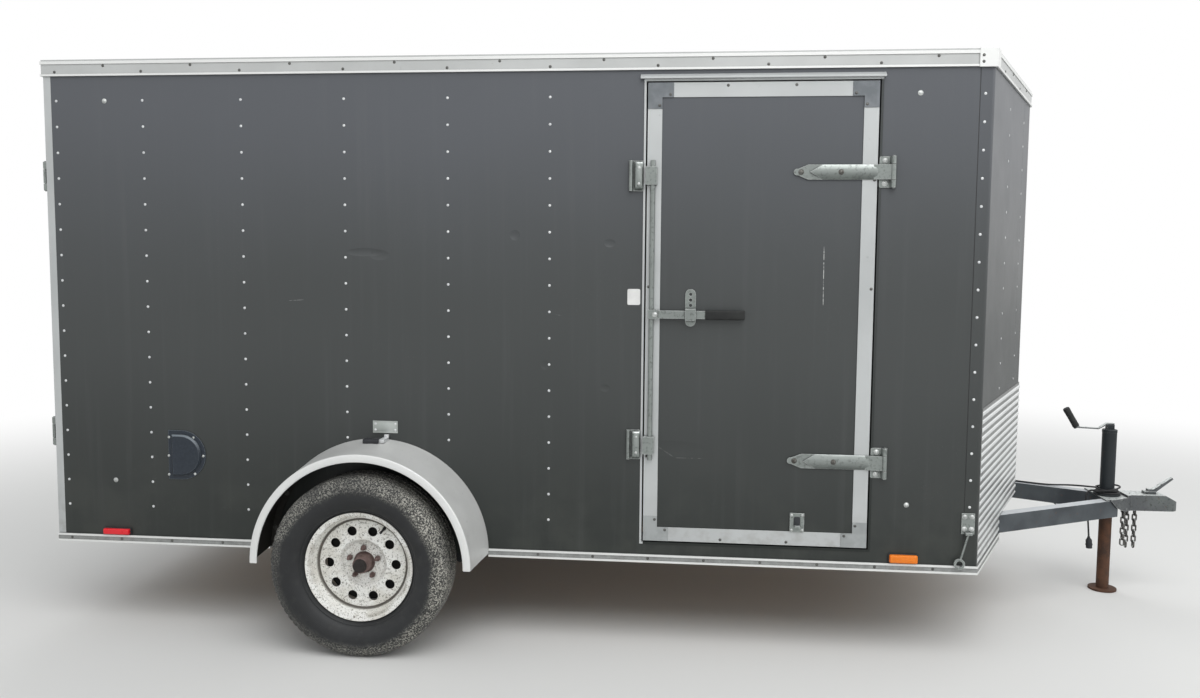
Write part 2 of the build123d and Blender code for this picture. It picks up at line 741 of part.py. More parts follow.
# one strap hinge in its own frame: origin on the door face at the leaf edge, local x towards
# the leaf's free side, local y outward, local z up along the pin
neck_under = trim_proud + bracket_sheet
with BuildPart() as strap:
    # flat plate with a pointed, rounded end
    with BuildSketch(Plane.XZ.offset(-trim_proud)):
        Polygon((0, -strap_wide / 2), (strap_long - strap_point, -strap_wide / 2),
                (strap_long - 8, -9), (strap_long - 8, 9),
                (strap_long - strap_point, strap_wide / 2), (0, strap_wide / 2), align=None)
        with Locations((strap_long - 12, 0)):
            Circle(12)
    extrude(amount=-strap_plate)
    # domed rib along it, fading to a point where the flat end begins
    with BuildSketch(Plane.YZ):
        with BuildLine():
            Line((trim_proud, -strap_wide / 2), (trim_proud + strap_plate, -strap_wide / 2))
            ThreePointArc((trim_proud + strap_plate, -strap_wide / 2), (strap_face, 0),
                          (trim_proud + strap_plate, strap_wide / 2))
            Line((trim_proud + strap_plate, strap_wide / 2), (trim_proud, strap_wide / 2))
            Line((trim_proud, strap_wide / 2), (trim_proud, -strap_wide / 2))
        make_face()
    extrude(amount=strap_long - strap_point)
    for side in (-1, 1):
        with BuildSketch(Plane.XZ.offset(-strap_face - 1)):
            Polygon((strap_long - 2 * strap_point, side * strap_wide / 2),
                    (strap_long + 1, side * strap_wide / 2), (strap_long + 1, 0),
                    (strap_long - strap_point - 6, 0), align=None)
        extrude(amount=strap_face + 1 - trim_proud - strap_plate, mode=Mode.SUBTRACT)
    # neck over the jamb to the knuckle
    with BuildSketch(Plane.XY.offset(-strap_wide / 2)):
        Polygon((0, neck_under), (0, trim_proud), (14, trim_proud), (14, strap_face - 3),
                (-8, strap_face), (-pin_off, pin_out + 2), (-pin_off, neck_under), align=None)
        with Locations((-pin_off, pin_out)):
            Circle(knuckle_r)
            Circle(pin_r + pin_gap, mode=Mode.SUBTRACT)
    extrude(amount=strap_wide)

# its fixed bracket with two ears and the pin
bracket_edge = -pin_off - 11
with BuildPart() as bracket:
    block(bracket_edge, -reveal, 0, bracket_sheet, -ear_half, ear_half)
    block(-reveal, -door_gap, trim_proud, bracket_sheet, -ear_half, ear_half)
    fillet(edges().filter_by(Axis.Y).sort_by(Axis.X)[-2:], 6)
    for z0, z1 in ((-ear_half, -strap_wide / 2 - ear_gap), (strap_wide / 2 + ear_gap, ear_half)):
        with BuildSketch(Plane.XY.offset(z0)):
            with Locations((-pin_off, pin_out)):
                Circle(knuckle_r)
            Polygon((-pin_off - knuckle_r, 4), (-pin_off + knuckle_r + 4, 4),
                    (-pin_off + knuckle_r, pin_out), (-pin_off - knuckle_r, pin_out), align=None)
        extrude(amount=z1 - z0)
    post(-pin_off, pin_out, pin_r, -ear_half - 3, ear_half + 3)


def side_place(x, z):
    """Hardware frame on the side door: local x runs back, local y outward."""
    return Plane(origin=(x, -half, z), x_dir=(-1, 0, 0), z_dir=(0, 0, 1)).location


def rear_place(y, z):
    """Hardware frame on the right rear door: local x runs to the middle, local y outward."""
    return Plane(origin=(rear_x, y, z), x_dir=(0, 1, 0), z_dir=(0, 0, 1)).location


# one bar lock handle in its own frame: origin on the door face beside the rod, local x from
# the rod along the handle, local y outward
rod_out = trim_proud + rod_r + rod_gap
hasp_face = rod_out + rod_r + 5
with BuildPart() as handle:
    # rod guide, flat bar, rounded grip
    block(-12, 24, trim_proud, hasp_face - 1, -18, 18)
    block(20, handle_long, rod_out + 0.5, rod_out + 8.5, -handle_half, handle_half)
    with BuildSketch(Plane.YZ.offset(handle_long)):
        with Locations((rod_out + 4.5, 0)):
            RectangleRounded(14, 2 * handle_half + 4, 6)
    extrude(amount=grip_bar)
    # hasp: rounded plate with three holes, and a staple round the bar
    hasp_middle = (hasp_up - hasp_down) / 2
    with BuildSketch(Plane.XZ.offset(-4)):
        with Locations((hasp_off, hasp_middle)):
            SlotOverall(hasp_up + hasp_down, hasp_wide, rotation=90)
        with Locations((hasp_off, hasp_up - 20), (hasp_off, hasp_up - 42), (hasp_off, hasp_up - 62)):
            Circle(6, mode=Mode.SUBTRACT)
    extrude(amount=4)
    with BuildSketch(Plane.YZ.offset(hasp_off - hasp_wide / 2)):
        with Locations(((hasp_face + 3) / 2, 0)):
            Rectangle(hasp_face - 3, 44)
            Rectangle(hasp_face - 3 - 12, 32, mode=Mode.SUBTRACT)
        with Locations((6, 0)):
            Rectangle(8, 32, mode=Mode.SUBTRACT)
    extrude(amount=hasp_wide)

side_hinge_rows = (side_z1 - side_hinge_down, side_z0 + side_hinge_up)
rear_hinge_rows = (rear_z1 - rear_hinge_down, rear_z0 + rear_hinge_up)
cam_rows = (side_z1 - cam_down, side_z0 + cam_up)
lock_z = side_z0 + handle_up
rod_x = side_x0 + rod_edge
mirror_x = Plane.YZ.offset(rod_x)


def lock_face(out):
    """Y of a face standing out from the side wall."""
    return -half - out


with BuildPart() as side_door_hardware:
    for z in side_hinge_rows:
        add(strap.part.moved(side_place(side_x1, z)))
    post(rod_x, lock_face(rod_out), rod_r, cam_rows[1] - keeper_half - 1, cam_rows[0] + keeper_half + 1)
    # cams that hook towards the keepers
    for z in cam_rows:
        block(side_x0 - door_gap + 1, rod_x + 16, lock_face(hasp_face - 2), lock_face(trim_proud),
              z - 34, z + 34)
    mirror(handle.part.moved(side_place(rod_x, lock_z)), about=mirror_x)
    # small catch at the foot of the door
    catch_x = side_x1 - catch_back
    catch_z = side_z0 + catch_rise
    block(catch_x, catch_x + 54, lock_face(trim_proud + 4), lock_face(trim_proud), catch_z,
          catch_z + 74)
    block(catch_x + 17, catch_x + 37, lock_face(trim_proud + 20), lock_face(trim_proud + 3),
          catch_z + 20, catch_z + 28)

# rear bar locks: upright rod near the middle, cams at the header and the sill
with BuildPart() as rear_hardware_right:
    for z in rear_hinge_rows:
        add(strap.part.moved(rear_place(-rear_y1, z)))
    post(rear_x - rod_out, -rear_rod_y, rod_r, rear_z0 - 34, rear_z1 + 34)
    for z in (rear_z0 + 30, rear_z1 - 30):
        block(rear_x - hasp_face + 1, rear_x - trim_proud, -rear_rod_y - 18, -rear_rod_y + 18,
              z - 18, z + 18)
    for z in (rear_z0 - 26, rear_z1 + 26):
        block(rear_x - 24, rear_x - 5, -rear_rod_y - 12, -rear_rod_y + 12, z - 8, z + 8)
    mirror(handle.part.moved(rear_place(-rear_rod_y, lock_z)), about=Plane.XZ.offset(rear_rod_y))
with BuildPart() as rear_hardware_left:
    mirror(rear_hardware_right.part, about=Plane.XZ)

# fixed pieces: hinge brackets, keepers beside the cams, hold-back bracket on the side wall
with BuildPart() as door_brackets:
    for z in side_hinge_rows:
        add(bracket.part.moved(side_place(side_x1, z)))
    for z in rear_hinge_rows:
        add(bracket.part.moved(rear_place(-rear_y1, z)))
        mirror(bracket.part.moved(rear_place(-rear_y1, z)), about=Plane.XZ)
    for z in cam_rows:
        block(side_x0 - 68, side_x0 - reveal - 1, lock_face(bracket_sheet), lock_face(0),
              z - keeper_half, z + keeper_half)
        post(side_x0 - 61, lock_face(11), 7, z - keeper_half, z + keeper_half)
    for side in (-1, 1):
        for z in (rear_z0 - 26, rear_z1 + 26):
            for y in (side * rear_rod_y - 24, side * rear_rod_y + 24):
                block(rear_x - 22, rear_x, y - 5, y + 5, z - 14, z + 14)
    # hold-back: plate and ledge on the wall, an eyed rod hanging from it
    hold_x = corner_x - hold_back
    hold_z = base_z + hold_rise
    hold_y = lock_face(16)
    block(hold_x, hold_x + 48, lock_face(4), lock_face(0), hold_z, hold_z + 79)
    block(hold_x + 12, hold_x + 36, lock_face(24), lock_face(3), hold_z, hold_z + 8)
    hook_top = (hold_x + 24, hold_y, hold_z + 4)
    hook_foot = (hold_x - 2, hold_y, hold_z - 96)
    with BuildSketch(Plane(origin=hook_top, z_dir=(-26, 0, -100))):
        Circle(4)
    extrude(amount=hypot(26, 100))
    with BuildSketch(Plane.XZ.offset(-hold_y - 4)):
        with Locations((hold_x - 6, hold_z - 112)):
            Circle(20)
            Circle(12, mode=Mode.SUBTRACT)
    extrude(amount=8)

# round fenders: tapered top sheet, turned-down lip, flange on the wall
with BuildPart() as fenders:
    fender_lip_r = tyre_r + lip_gap
    fender_out = wheel_gap + 2 * tyre_half - fender_short
    fender_plane = Plane(origin=(axle_x, -half, wheel_z), x_dir=(1, 0, 0), z_dir=(0, 0, -1))
    with BuildSketch(fender_plane):
        Polygon((fender_wall_r, 0), (fender_lip_r, fender_out),
                (fender_lip_r - fender_lip, fender_out),
                (fender_lip_r - fender_lip, fender_out - fender_sheet),
                (fender_lip_r - fender_sheet, fender_out - fender_sheet),
                (fender_wall_r - fender_sheet, fender_sheet),
                (fender_wall_r - fender_lip, fender_sheet), (fender_wall_r - fender_lip, 0),
                align=None)
    revolve(axis=Axis((axle_x, -half, wheel_z), (0, -1, 0)), revolution_arc=180)
    mirror(about=Plane.XZ)

# D-shaped side vents: a flange on the wall and a hood on it
vent_x0 = rear_x + vent_back
vent_z = base_z + vent_rise
with BuildPart() as side_vents:
    with BuildSketch(Plane.XZ.offset(half)) as vent_line:
        with BuildLine():
            Polyline((vent_x0 + vent_flat, vent_z - vent_r), (vent_x0, vent_z - vent_r),
                     (vent_x0, vent_z + vent_r), (vent_x0 + vent_flat, vent_z + vent_r))
            ThreePointArc((vent_x0 + vent_flat, vent_z + vent_r), (vent_x0 + vent_flat + vent_r, vent_z),
                          (vent_x0 + vent_flat, vent_z - vent_r))
        make_face()
    extrude(amount=vent_flange)
    with BuildSketch(Plane.XZ.offset(half)):
        add(vent_line.sketch)
        offset(amount=-vent_edge, kind=Kind.INTERSECTION)
    extrude(amount=vent_out)
    chamfer(faces().sort_by(Axis.Y)[0].edges(), 6)
    mirror(about=Plane.XZ)

# marker lamps on both sides, tail lamps and a row of three on the rear
with BuildPart() as amber_lamps:
    for side in (-1, 1):
        y0, y1 = sorted((side * half, side * (half + amber_out)))
        lamp_x = corner_x - amber_back
        block(lamp_x, lamp_x + amber_long, y0, y1, base_z + amber_rise,
              base_z + amber_rise + lamp_high)
with BuildPart() as red_lamps:
    for side in (-1, 1):
        y0, y1 = sorted((side * half, side * (half + red_out)))
        lamp_x = rear_x + red_back
        block(lamp_x, lamp_x + red_long, y0, y1, base_z + red_rise, base_z + red_rise + lamp_high - 7)
with BuildPart() as tail_lamps:
    for side in (-1, 1):
        lamp_y = side * (half - tail_inset)
        block(rear_x - tail_out, rear_x, lamp_y - tail_half, lamp_y + tail_half, base_z + red_rise,
              base_z + red_rise + tail_high)
    for y in (-id_pitch, 0.0, id_pitch):
        block(rear_x - id_out, rear_x, y - id_half, y + id_half, top_z - id_drop,
              top_z - id_drop + id_high)

# wheel: tyre, steel rim with ten hand holes, hub with five studs
# wheel profiles give radius and outward place from the wheel's middle plane
wheel_plane = Plane(origin=(axle_x, -wheel_y, wheel_z), x_dir=(1, 0, 0), z_dir=(0, 0, -1))
wheel_axis = Axis((axle_x, -wheel_y, wheel_z), (0, -1, 0))
face_plane = Plane(origin=(axle_x, -wheel_y, wheel_z), x_dir=(1, 0, 0), z_dir=(0, -1, 0))
bead_half = rim_half - flange_edge
tread_half = tyre_half - 28
# the tyre is a ring of many flats, which keeps tyres and chains light
with BuildPart() as tyre_right:
    with BuildSketch(face_plane, mode=Mode.PRIVATE) as tread_ring:
        RegularPolygon(tyre_r, tyre_facets, major_radius=False, rotation=180 / tyre_facets)
    with BuildSketch(wheel_plane):
        Polygon((tyre_r, -tread_half), (tyre_r, tread_half), (tyre_r - 15, tyre_half - 9),
                (tyre_r - 80, tyre_half), (rim_r + 2, bead_half - bead_gap),
                (bead_r + bead_gap, bead_half - bead_gap),
                (bead_r + bead_gap, bead_gap - bead_half), (rim_r + 2, bead_gap - bead_half),
                (tyre_r - 80, -tyre_half), (tyre_r - 15, 9 - tyre_half), align=None)
    sweep(path=tread_ring.sketch.faces()[0].outer_wire(), transition=Transition.RIGHT)
disc_r = bead_r - 14
with BuildPart() as rim_right:
    with BuildSketch(wheel_plane):
        # barrel with turned-out flanges
        Polygon((rim_r, rim_half), (rim_r, bead_half), (bead_r, bead_half), (bead_r, -bead_half),
                (rim_r, -bead_half), (rim_r, -rim_half), (bead_r - 4, 2 - rim_half),
                (bead_r - 6, -30), (disc_r, -16), (disc_r, disc_out + 2), (bead_r - 6, 38),
                (bead_r - 4, rim_half - 2), align=None)
        # disc: flat ring with the hand holes, dished to the hub seat
        Polygon((disc_r + 1, disc_out + 2), (disc_r - 20, disc_out + disc_sheet),
                (95, disc_out + disc_sheet), (79, 3), (41, 3), (41, -2), (82, -2),
                (98, disc_out), (disc_r - 22, disc_out), (disc_r + 1, disc_out - 5), align=None)
    revolve(axis=wheel_axis)
    with BuildSketch(face_plane.offset(-10)):
        with PolarLocations(hand_ring_r, hand_holes, start_angle=180 / hand_holes):
            Circle(hand_hole_r)
        with PolarLocations(lug_ring_r, lug_count, start_angle=90):
            Circle(lug_r + 1)
    extrude(amount=50, mode=Mode.SUBTRACT)
with BuildPart() as hub_right:
    with BuildSketch(wheel_plane):
        Polygon((spindle_r + spindle_gap, -60), (34, -60), (40, -14), (75, -14), (75, -2),
                (hub_r, -2), (hub_r, hub_out), (24, hub_out + 2), (24, cap_out - 3),
                (20, cap_out), (0, cap_out), (0, hub_out + 10), (spindle_r + spindle_gap, hub_out + 2),
                align=None)
    revolve(axis=wheel_axis)
    with BuildSketch(face_plane.offset(3)):
        with PolarLocations(lug_ring_r, lug_count, start_angle=90):
            RegularPolygon(lug_nut_r, 6)
    extrude(amount=lug_nut_out - 3)
    with BuildSketch(face_plane.offset(-4)):
        with PolarLocations(lug_ring_r, lug_count, start_angle=90):
            Circle(lug_r)
    extrude(amount=lug_reach + 4)
with BuildPart() as tyre_left:
    mirror(tyre_right.part, about=Plane.XZ)
with BuildPart() as rim_left:
    mirror(rim_right.part, about=Plane.XZ)
with BuildPart() as hub_left:
    mirror(hub_right.part, about=Plane.XZ)

# light cable: along the left drawbar tube to a coil round the jack, then down to its plug
# route points: x ahead of the nose apex, y, z
lead_points = [(-160.7, 383.5, 462), (-122, 362, 462), (-66, 333, 451), (-8, 300, 444.6),
               (52, 264, 444.3), (110, 230, 444.3), (168, 199, 444.3), (228, 168, 446),
               (286, 132, 456), (341.69, 70.31, 466), (371.69, 40.31, 466)]
tail_points = [(355, -4, 466), (339, -4, 466), (325, -6, 458.5), (317, -10, 444),
               (315, -15, 421), (317, -21, 390), (321, -27, 351), (325, -32, 305),
               (328, -35, 251)]


def route(points):
    """Route points in the trailer's frame, and the radius of each bend."""
    spots = [Vector(apex_x + x, y, z) for x, y, z in points]
    bends = []
    for before, here, after in zip(spots, spots[1:], spots[2:]):
        turn = radians((here - before).get_angle(after - here))
        shorter = min((here - before).length, (after - here).length)
        bends.append(0.45 * shorter / tan(turn / 2))
    return spots, bends


with BuildPart() as harness_cord:
    for points in (lead_points, tail_points):
        spots, bends = route(points)
        print("cord radii", [round(bend) for bend in bends])
        with BuildLine() as run:
            FilletPolyline(*spots, radius=bends)
        with BuildSketch(Plane(origin=spots[0], z_dir=spots[1] - spots[0])):
            Circle(cord_d / 2)
        sweep(path=run.line)
        print("cord length", round(sum(edge.length for edge in run.edges())))
coil_z = plate_top + flange_thick
with BuildPart() as harness_coil:
    with BuildSketch(Plane.XY.offset(coil_z)):
        with Locations((jack_x, 0)):
            RegularPolygon(coil_outer, 8, major_radius=False, rotation=22.5)
            Circle(coil_inner, mode=Mode.SUBTRACT)
    extrude(amount=coil_high)
with BuildPart() as harness_plug:
    spots, bends = route(tail_points)
    with BuildSketch(Plane(origin=spots[-1], z_dir=spots[-1] - spots[-2])):
        Circle(plug_r)
    extrude(amount=plug_long)

pieces = {
    "main_frame": main_frame,
    "tongue": tongue,
    "coupler": coupler,
    "safety_chains": safety_chains,
    "jack_tube": jack_tube,
    "jack_crank": jack_crank,
    "jack_leg": jack_leg,
    "axle": axle,
    "leaf_springs": leaf_springs,
    "floor": floor,
    "right_wall": right_wall,
    "left_wall": left_wall,
    "nose_right": nose_right,
    "nose_left": nose_left,
    "nose_centre": nose_centre,
    "roof": roof,
    "rear_frame": rear_frame,
    "top_trim": top_trim,
    "bottom_trim": bottom_trim,
    "stone_guard": stone_guard,
    "side_door_frame": side_door_frame,
    "side_door": side_door,
    "side_door_trim": side_door_trim,
    "side_door_hardware": side_door_hardware,
    "rear_door_right": rear_door_right,
    "rear_trim_right": rear_trim_right,
    "rear_hardware_right": rear_hardware_right,
    "rear_door_left": rear_door_left,
    "rear_trim_left": rear_trim_left,
    "rear_hardware_left": rear_hardware_left,
    "door_brackets": door_brackets,
    "fenders": fenders,
    "side_vents": side_vents,
    "amber_lamps": amber_lamps,
    "red_lamps": red_lamps,
    "tail_lamps": tail_lamps,
    "tyre_right": tyre_right,
    "rim_right": rim_right,
    "hub_right": hub_right,
    "tyre_left": tyre_left,
    "rim_left": rim_left,
    "hub_left": hub_left,
    "harness_cord": harness_cord,
    "harness_coil": harness_coil,
    "harness_plug": harness_plug,
}
for label, piece in pieces.items():
    piece.part.label = label
    export_step(piece.part, f"parts/{label}.step")
    print(label, len(piece.part.solids()), round(piece.part.volume / 1e6, 3))
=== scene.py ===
from math import cos, hypot, pi, radians, sin

import bmesh
import bpy
from mathutils import Matrix, Vector


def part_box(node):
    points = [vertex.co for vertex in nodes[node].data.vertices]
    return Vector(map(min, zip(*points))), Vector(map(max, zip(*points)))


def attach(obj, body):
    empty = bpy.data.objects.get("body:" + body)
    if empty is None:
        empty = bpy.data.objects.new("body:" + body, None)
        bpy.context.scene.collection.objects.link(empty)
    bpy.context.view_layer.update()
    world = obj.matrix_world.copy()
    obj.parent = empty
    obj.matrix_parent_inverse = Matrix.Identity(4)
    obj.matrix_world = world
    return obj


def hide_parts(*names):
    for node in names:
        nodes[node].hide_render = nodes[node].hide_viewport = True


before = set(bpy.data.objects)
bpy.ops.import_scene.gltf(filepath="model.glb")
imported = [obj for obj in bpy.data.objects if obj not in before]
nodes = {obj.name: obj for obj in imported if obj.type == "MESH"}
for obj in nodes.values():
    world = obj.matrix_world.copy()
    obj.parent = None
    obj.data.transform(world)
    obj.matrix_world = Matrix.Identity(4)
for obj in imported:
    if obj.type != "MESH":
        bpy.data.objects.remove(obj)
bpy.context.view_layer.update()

# sizes that the pieces share, in metres, read from the frame where a node has them
trailer = {
    "rear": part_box("rear_frame")[0].x,      # outer face of the rear frame
    "corner": 1.2705,                       # side corner of the nose
    "apex": 1.7005,                         # point of the V
    "half": -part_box("right_wall")[0].y,     # half of the box width
    "axleX": -1.0355,
    "wheelY": 1.0805,
    "wheelZ": 0.344,
    "jackX": 2.1125,
}
rear = trailer["rear"]
half = trailer["half"]
facetLength = hypot(trailer["apex"] - trailer["corner"], half)
facetAlong = Vector((trailer["apex"] - trailer["corner"], half, 0)) / facetLength
facetOut = Vector((facetAlong.y, -facetAlong.x, 0))


# camera at the photograph's viewpoint: place in metres, turns in degrees, lens in millimetres
camera = {"place": (0.1923, -4.557, 1.4783), "yaw": 5.46, "pitch": -4.441, "roll": 0.486,
          "lens": 28.72, "sensor": 36, "shiftY": -0.0075}


def addObject(name, data):
    made = bpy.data.objects.new(name, data)
    bpy.context.collection.objects.link(made)
    return made


def setCamera():
    yaw, pitch, roll = (radians(camera[turn]) for turn in ("yaw", "pitch", "roll"))
    ahead = Vector((-sin(yaw) * cos(pitch), cos(yaw) * cos(pitch), sin(pitch)))
    level = Vector((cos(yaw), sin(yaw), 0))
    upright = level.cross(ahead)
    side = cos(roll) * level + sin(roll) * upright
    top = cos(roll) * upright - sin(roll) * level
    lens = bpy.data.cameras.new("viewpoint")
    lens.lens = camera["lens"]
    lens.sensor_width = camera["sensor"]
    lens.shift_y = camera["shiftY"]
    holder = addObject("viewpoint", lens)
    turn = Matrix((side, top, -ahead)).transposed().to_4x4()
    holder.matrix_world = Matrix.Translation(camera["place"]) @ turn
    bpy.context.scene.camera = holder


setCamera()


# shader maths
def paint(red, green, blue):
    levels = []
    for level in (red, green, blue):
        level /= 255
        levels.append(level / 12.92 if level <= 0.04045 else ((level + 0.055) / 1.055) ** 2.4)
    return (*levels, 1)


class Wire:
    # a number socket that takes part in Python expressions
    def __init__(self, finish, socket):
        self.finish = finish
        self.socket = socket

    def step(self, operation, *others):
        return self.finish.maths(operation, self, *others)

    def __add__(self, other):
        return self.step("ADD", other)

    def __sub__(self, other):
        return self.step("SUBTRACT", other)

    def __mul__(self, other):
        return self.step("MULTIPLY", other)

    def __truediv__(self, other):
        return self.step("DIVIDE", other)

    def __rsub__(self, other):
        return self.finish.maths("SUBTRACT", other, self)

    def __rtruediv__(self, other):
        return self.finish.maths("DIVIDE", other, self)

    def __abs__(self):
        return self.step("ABSOLUTE")

    __radd__ = __add__
    __rmul__ = __mul__

    def least(self, other):
        return self.step("MINIMUM", other)

    def most(self, other):
        return self.step("MAXIMUM", other)

    # 0 below low, 1 above high, smooth between; low above high turns it round
    def rise(self, low, high):
        return self.finish.node("ShaderNodeMapRange", {"interpolation_type": "SMOOTHSTEP"},
                                {"Value": self, "From Min": low, "From Max": high})


class Finish:
    # one material: a shader, its constant numbers, and helpers for its patterns
    def __init__(self, name, **numbers):
        self.material = bpy.data.materials.new(name)
        self.material.use_nodes = True
        self.tree = self.material.node_tree
        self.tree.nodes.clear()
        self.shader = self.tree.nodes.new("ShaderNodeBsdfPrincipled")
        self.output = self.tree.nodes.new("ShaderNodeOutputMaterial")
        self.tree.links.new(self.shader.outputs[0], self.output.inputs[0])
        self.feed(**numbers)
        self.place = self.node("ShaderNodeTexCoord", {}, {}, "Object")

    def node(self, kind, settings, values, output=0):
        made = self.tree.nodes.new(kind)
        for setting, value in settings.items():
            setattr(made, setting, value)
        for socket, value in values.items():
            self.join(made.inputs[socket], value)
        return Wire(self, made.outputs[output])

    def maths(self, operation, *values):
        return self.node("ShaderNodeMath", {"operation": operation}, dict(enumerate(values)))

    def join(self, socket, value):
        if isinstance(value, Wire):
            self.tree.links.new(value.socket, socket)
        elif value is not None:
            socket.default_value = value

    def feed(self, **links):
        for socket, value in links.items():
            self.join(self.shader.inputs[socket.replace("_", " ")], value)

    def axes(self, vector=None):
        split = self.tree.nodes.new("ShaderNodeSeparateXYZ")
        self.join(split.inputs[0], vector or self.place)
        return [Wire(self, output) for output in split.outputs]

    # distance out from the nose facet, the same on both sides
    def offFacet(self):
        x, y, z = self.axes()
        return (x - trailer["corner"]) * facetOut.x - (abs(y) - half) * facetOut.y

    # how far ahead of and above the axle, and the distance from it
    def fromAxle(self):
        x, y, z = self.axes()
        ahead = x - trailer["axleX"]
        above = z - trailer["wheelZ"]
        return ahead, above, (ahead * ahead + above * above).step("SQRT")

    def stretch(self, scale, shift=(0, 0, 0)):
        return self.node("ShaderNodeMapping", {},
                         {"Vector": self.place, "Scale": scale, "Location": shift})

    def noise(self, scale, detail=3.0, rough=0.55, vector=None):
        return self.node("ShaderNodeTexNoise", {}, {"Vector": vector or self.place,
                         "Scale": scale, "Detail": detail, "Roughness": rough})

    def cells(self, scale):
        return self.node("ShaderNodeTexVoronoi", {}, {"Vector": self.place, "Scale": scale})

    # first or second is a wire, or a colour as red, green and blue out of 255
    def mix(self, share, first, second):
        made = self.tree.nodes.new("ShaderNodeMix")
        made.data_type = "RGBA"
        self.join(made.inputs[0], share)
        for socket, colour in ((made.inputs[6], first), (made.inputs[7], second)):
            self.join(socket, paint(*colour) if isinstance(colour, tuple) else colour)
        return Wire(self, made.outputs[2])

    def soft(self, radius):
        return self.node("ShaderNodeBevel", {"samples": 4}, {"Radius": radius})

    def normal(self):
        return self.node("ShaderNodeNewGeometry", {}, {}, "Normal")

    # 1 on sharp outward edges, 0 on flat faces
    def worn(self, radius):
        match = self.node("ShaderNodeVectorMath", {"operation": "DOT_PRODUCT"},
                          {0: self.soft(radius), 1: self.normal()}, "Value")
        return (1 - match).rise(0.02, 0.22)

    # painted shade: 1 in corners and close beside what stands on the surface, 0 in the open
    def cornerShade(self, reach, low=0.35, high=0.85):
        clear = self.node("ShaderNodeAmbientOcclusion", {"samples": 6}, {"Distance": reach}, "AO")
        return clear.rise(high, low)

    # height in metres; edges look rounded by the radius
    def bump(self, height, radius=None):
        normal = self.soft(radius) if radius else None
        return self.node("ShaderNodeBump", {}, {"Height": height, "Distance": 1.0,
                         "Strength": 1.0, "Normal": normal})


# mesh helpers
def toMesh(name, bm):
    mesh = bpy.data.meshes.new(name)
    bm.to_mesh(mesh)
    bm.free()
    return mesh


def keep(name, source, finish, body, slot, replaced=(), sharp=35):
    # bmesh or mesh to a finished piece that rides on a body
    mesh = toMesh(name, source) if isinstance(source, bmesh.types.BMesh) else source
    if not mesh.materials:
        mesh.materials.append(finishes[finish].material)
    mesh.shade_smooth()
    mesh.set_sharp_from_angle(angle=radians(sharp))
    piece = addObject(name, mesh)
    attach(piece, body)
    if replaced:
        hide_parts(*replaced)
    return piece


def sideName(side):
    return "right" if side < 0 else "left"


def turned(origin, along, across=None):
    # matrix whose z runs along and whose x runs across
    z = Vector(along).normalized()
    if across is None:
        across = (0, 0, 1) if abs(z.z) < 0.9 else (1, 0, 0)
    y = z.cross(Vector(across)).normalized()
    return Matrix.Translation(origin) @ Matrix((y.cross(z), y, z)).transposed().to_4x4()


def onWall(x, z):
    # matrix of a place on the near wall, x forwards and z out from it
    return turned((x, -half, z), (0, -1, 0), (1, 0, 0))


def atWheel(side, across):
    # matrix of the middle of a wheel, z out along its axle
    middle = (trailer["axleX"], side * trailer["wheelY"], trailer["wheelZ"])
    return turned(middle, (0, side, 0), across)


def around(place, radius, angle):
    return place @ Matrix.Translation((radius * cos(angle), radius * sin(angle), 0))


def lathe(bm, profile, place, steps, turn=2 * pi, closed=False, shape=None):
    # profile of (radius, along) turned about z of place; closed joins its ends, and shape
    # may change the radius of a point
    full = abs(turn - 2 * pi) < 1e-6
    count = steps if full else steps + 1
    rings = []
    for radius, along in profile:
        if radius < 1e-7:
            rings.append([bm.verts.new(place @ Vector((0, 0, along)))])
            continue
        ring = []
        for i in range(count):
            angle = turn * i / steps
            r = shape(radius, along, i) if shape else radius
            ring.append(bm.verts.new(place @ Vector((r * cos(angle), r * sin(angle), along))))
        rings.append(ring)
    pairs = list(zip(rings, rings[1:])) + ([(rings[-1], rings[0])] if closed else [])
    for first, second in pairs:
        for i in range(steps):
            j = (i + 1) % count
            corners = []
            for ring, spot in ((first, i), (first, j), (second, j), (second, i)):
                vert = ring[spot % len(ring)] if len(ring) > 1 else ring[0]
                if vert not in corners:
                    corners.append(vert)
            if len(corners) > 2:
                bm.faces.new(corners)
    if closed and not full:
        for spot in (0, -1):
            bm.faces.new([ring[spot] for ring in rings])


def outward(bm):
    bmesh.ops.remove_doubles(bm, verts=bm.verts, dist=1e-6)
    bmesh.ops.recalc_face_normals(bm, faces=bm.faces)
    return bm


def lathePiece(name, profile, place, steps, *keeping, closed=False):
    # one turned shape as a piece of its own; the rest is as for keep
    bm = bmesh.new()
    lathe(bm, profile, place, steps, closed=closed)
    return keep(name, outward(bm), *keeping)


def prism(bm, outline, low, high, place, ease=0.0, rounds=2):
    # flat outline of (x, y) raised from low to high along z of place, edges eased
    bottom = [bm.verts.new(place @ Vector((x, y, low))) for x, y in outline]
    top = [bm.verts.new(place @ Vector((x, y, high))) for x, y in outline]
    faces = [bm.faces.new(bottom[::-1]), bm.faces.new(top)]
    for i in range(len(outline)):
        j = (i + 1) % len(outline)
        faces.append(bm.faces.new((bottom[i], bottom[j], top[j], top[i])))
    if ease:
        edges = {edge for face in faces for edge in face.edges}
        bmesh.ops.bevel(bm, geom=list(edges), offset=ease, segments=rounds, profile=0.5,
                        affect="EDGES", clamp_overlap=True)


def brick(bm, low, high, ease=0.0, rounds=2):
    outline = [(low[0], low[1]), (high[0], low[1]), (high[0], high[1]), (low[0], high[1])]
    prism(bm, outline, low[2], high[2], Matrix(), ease, rounds)


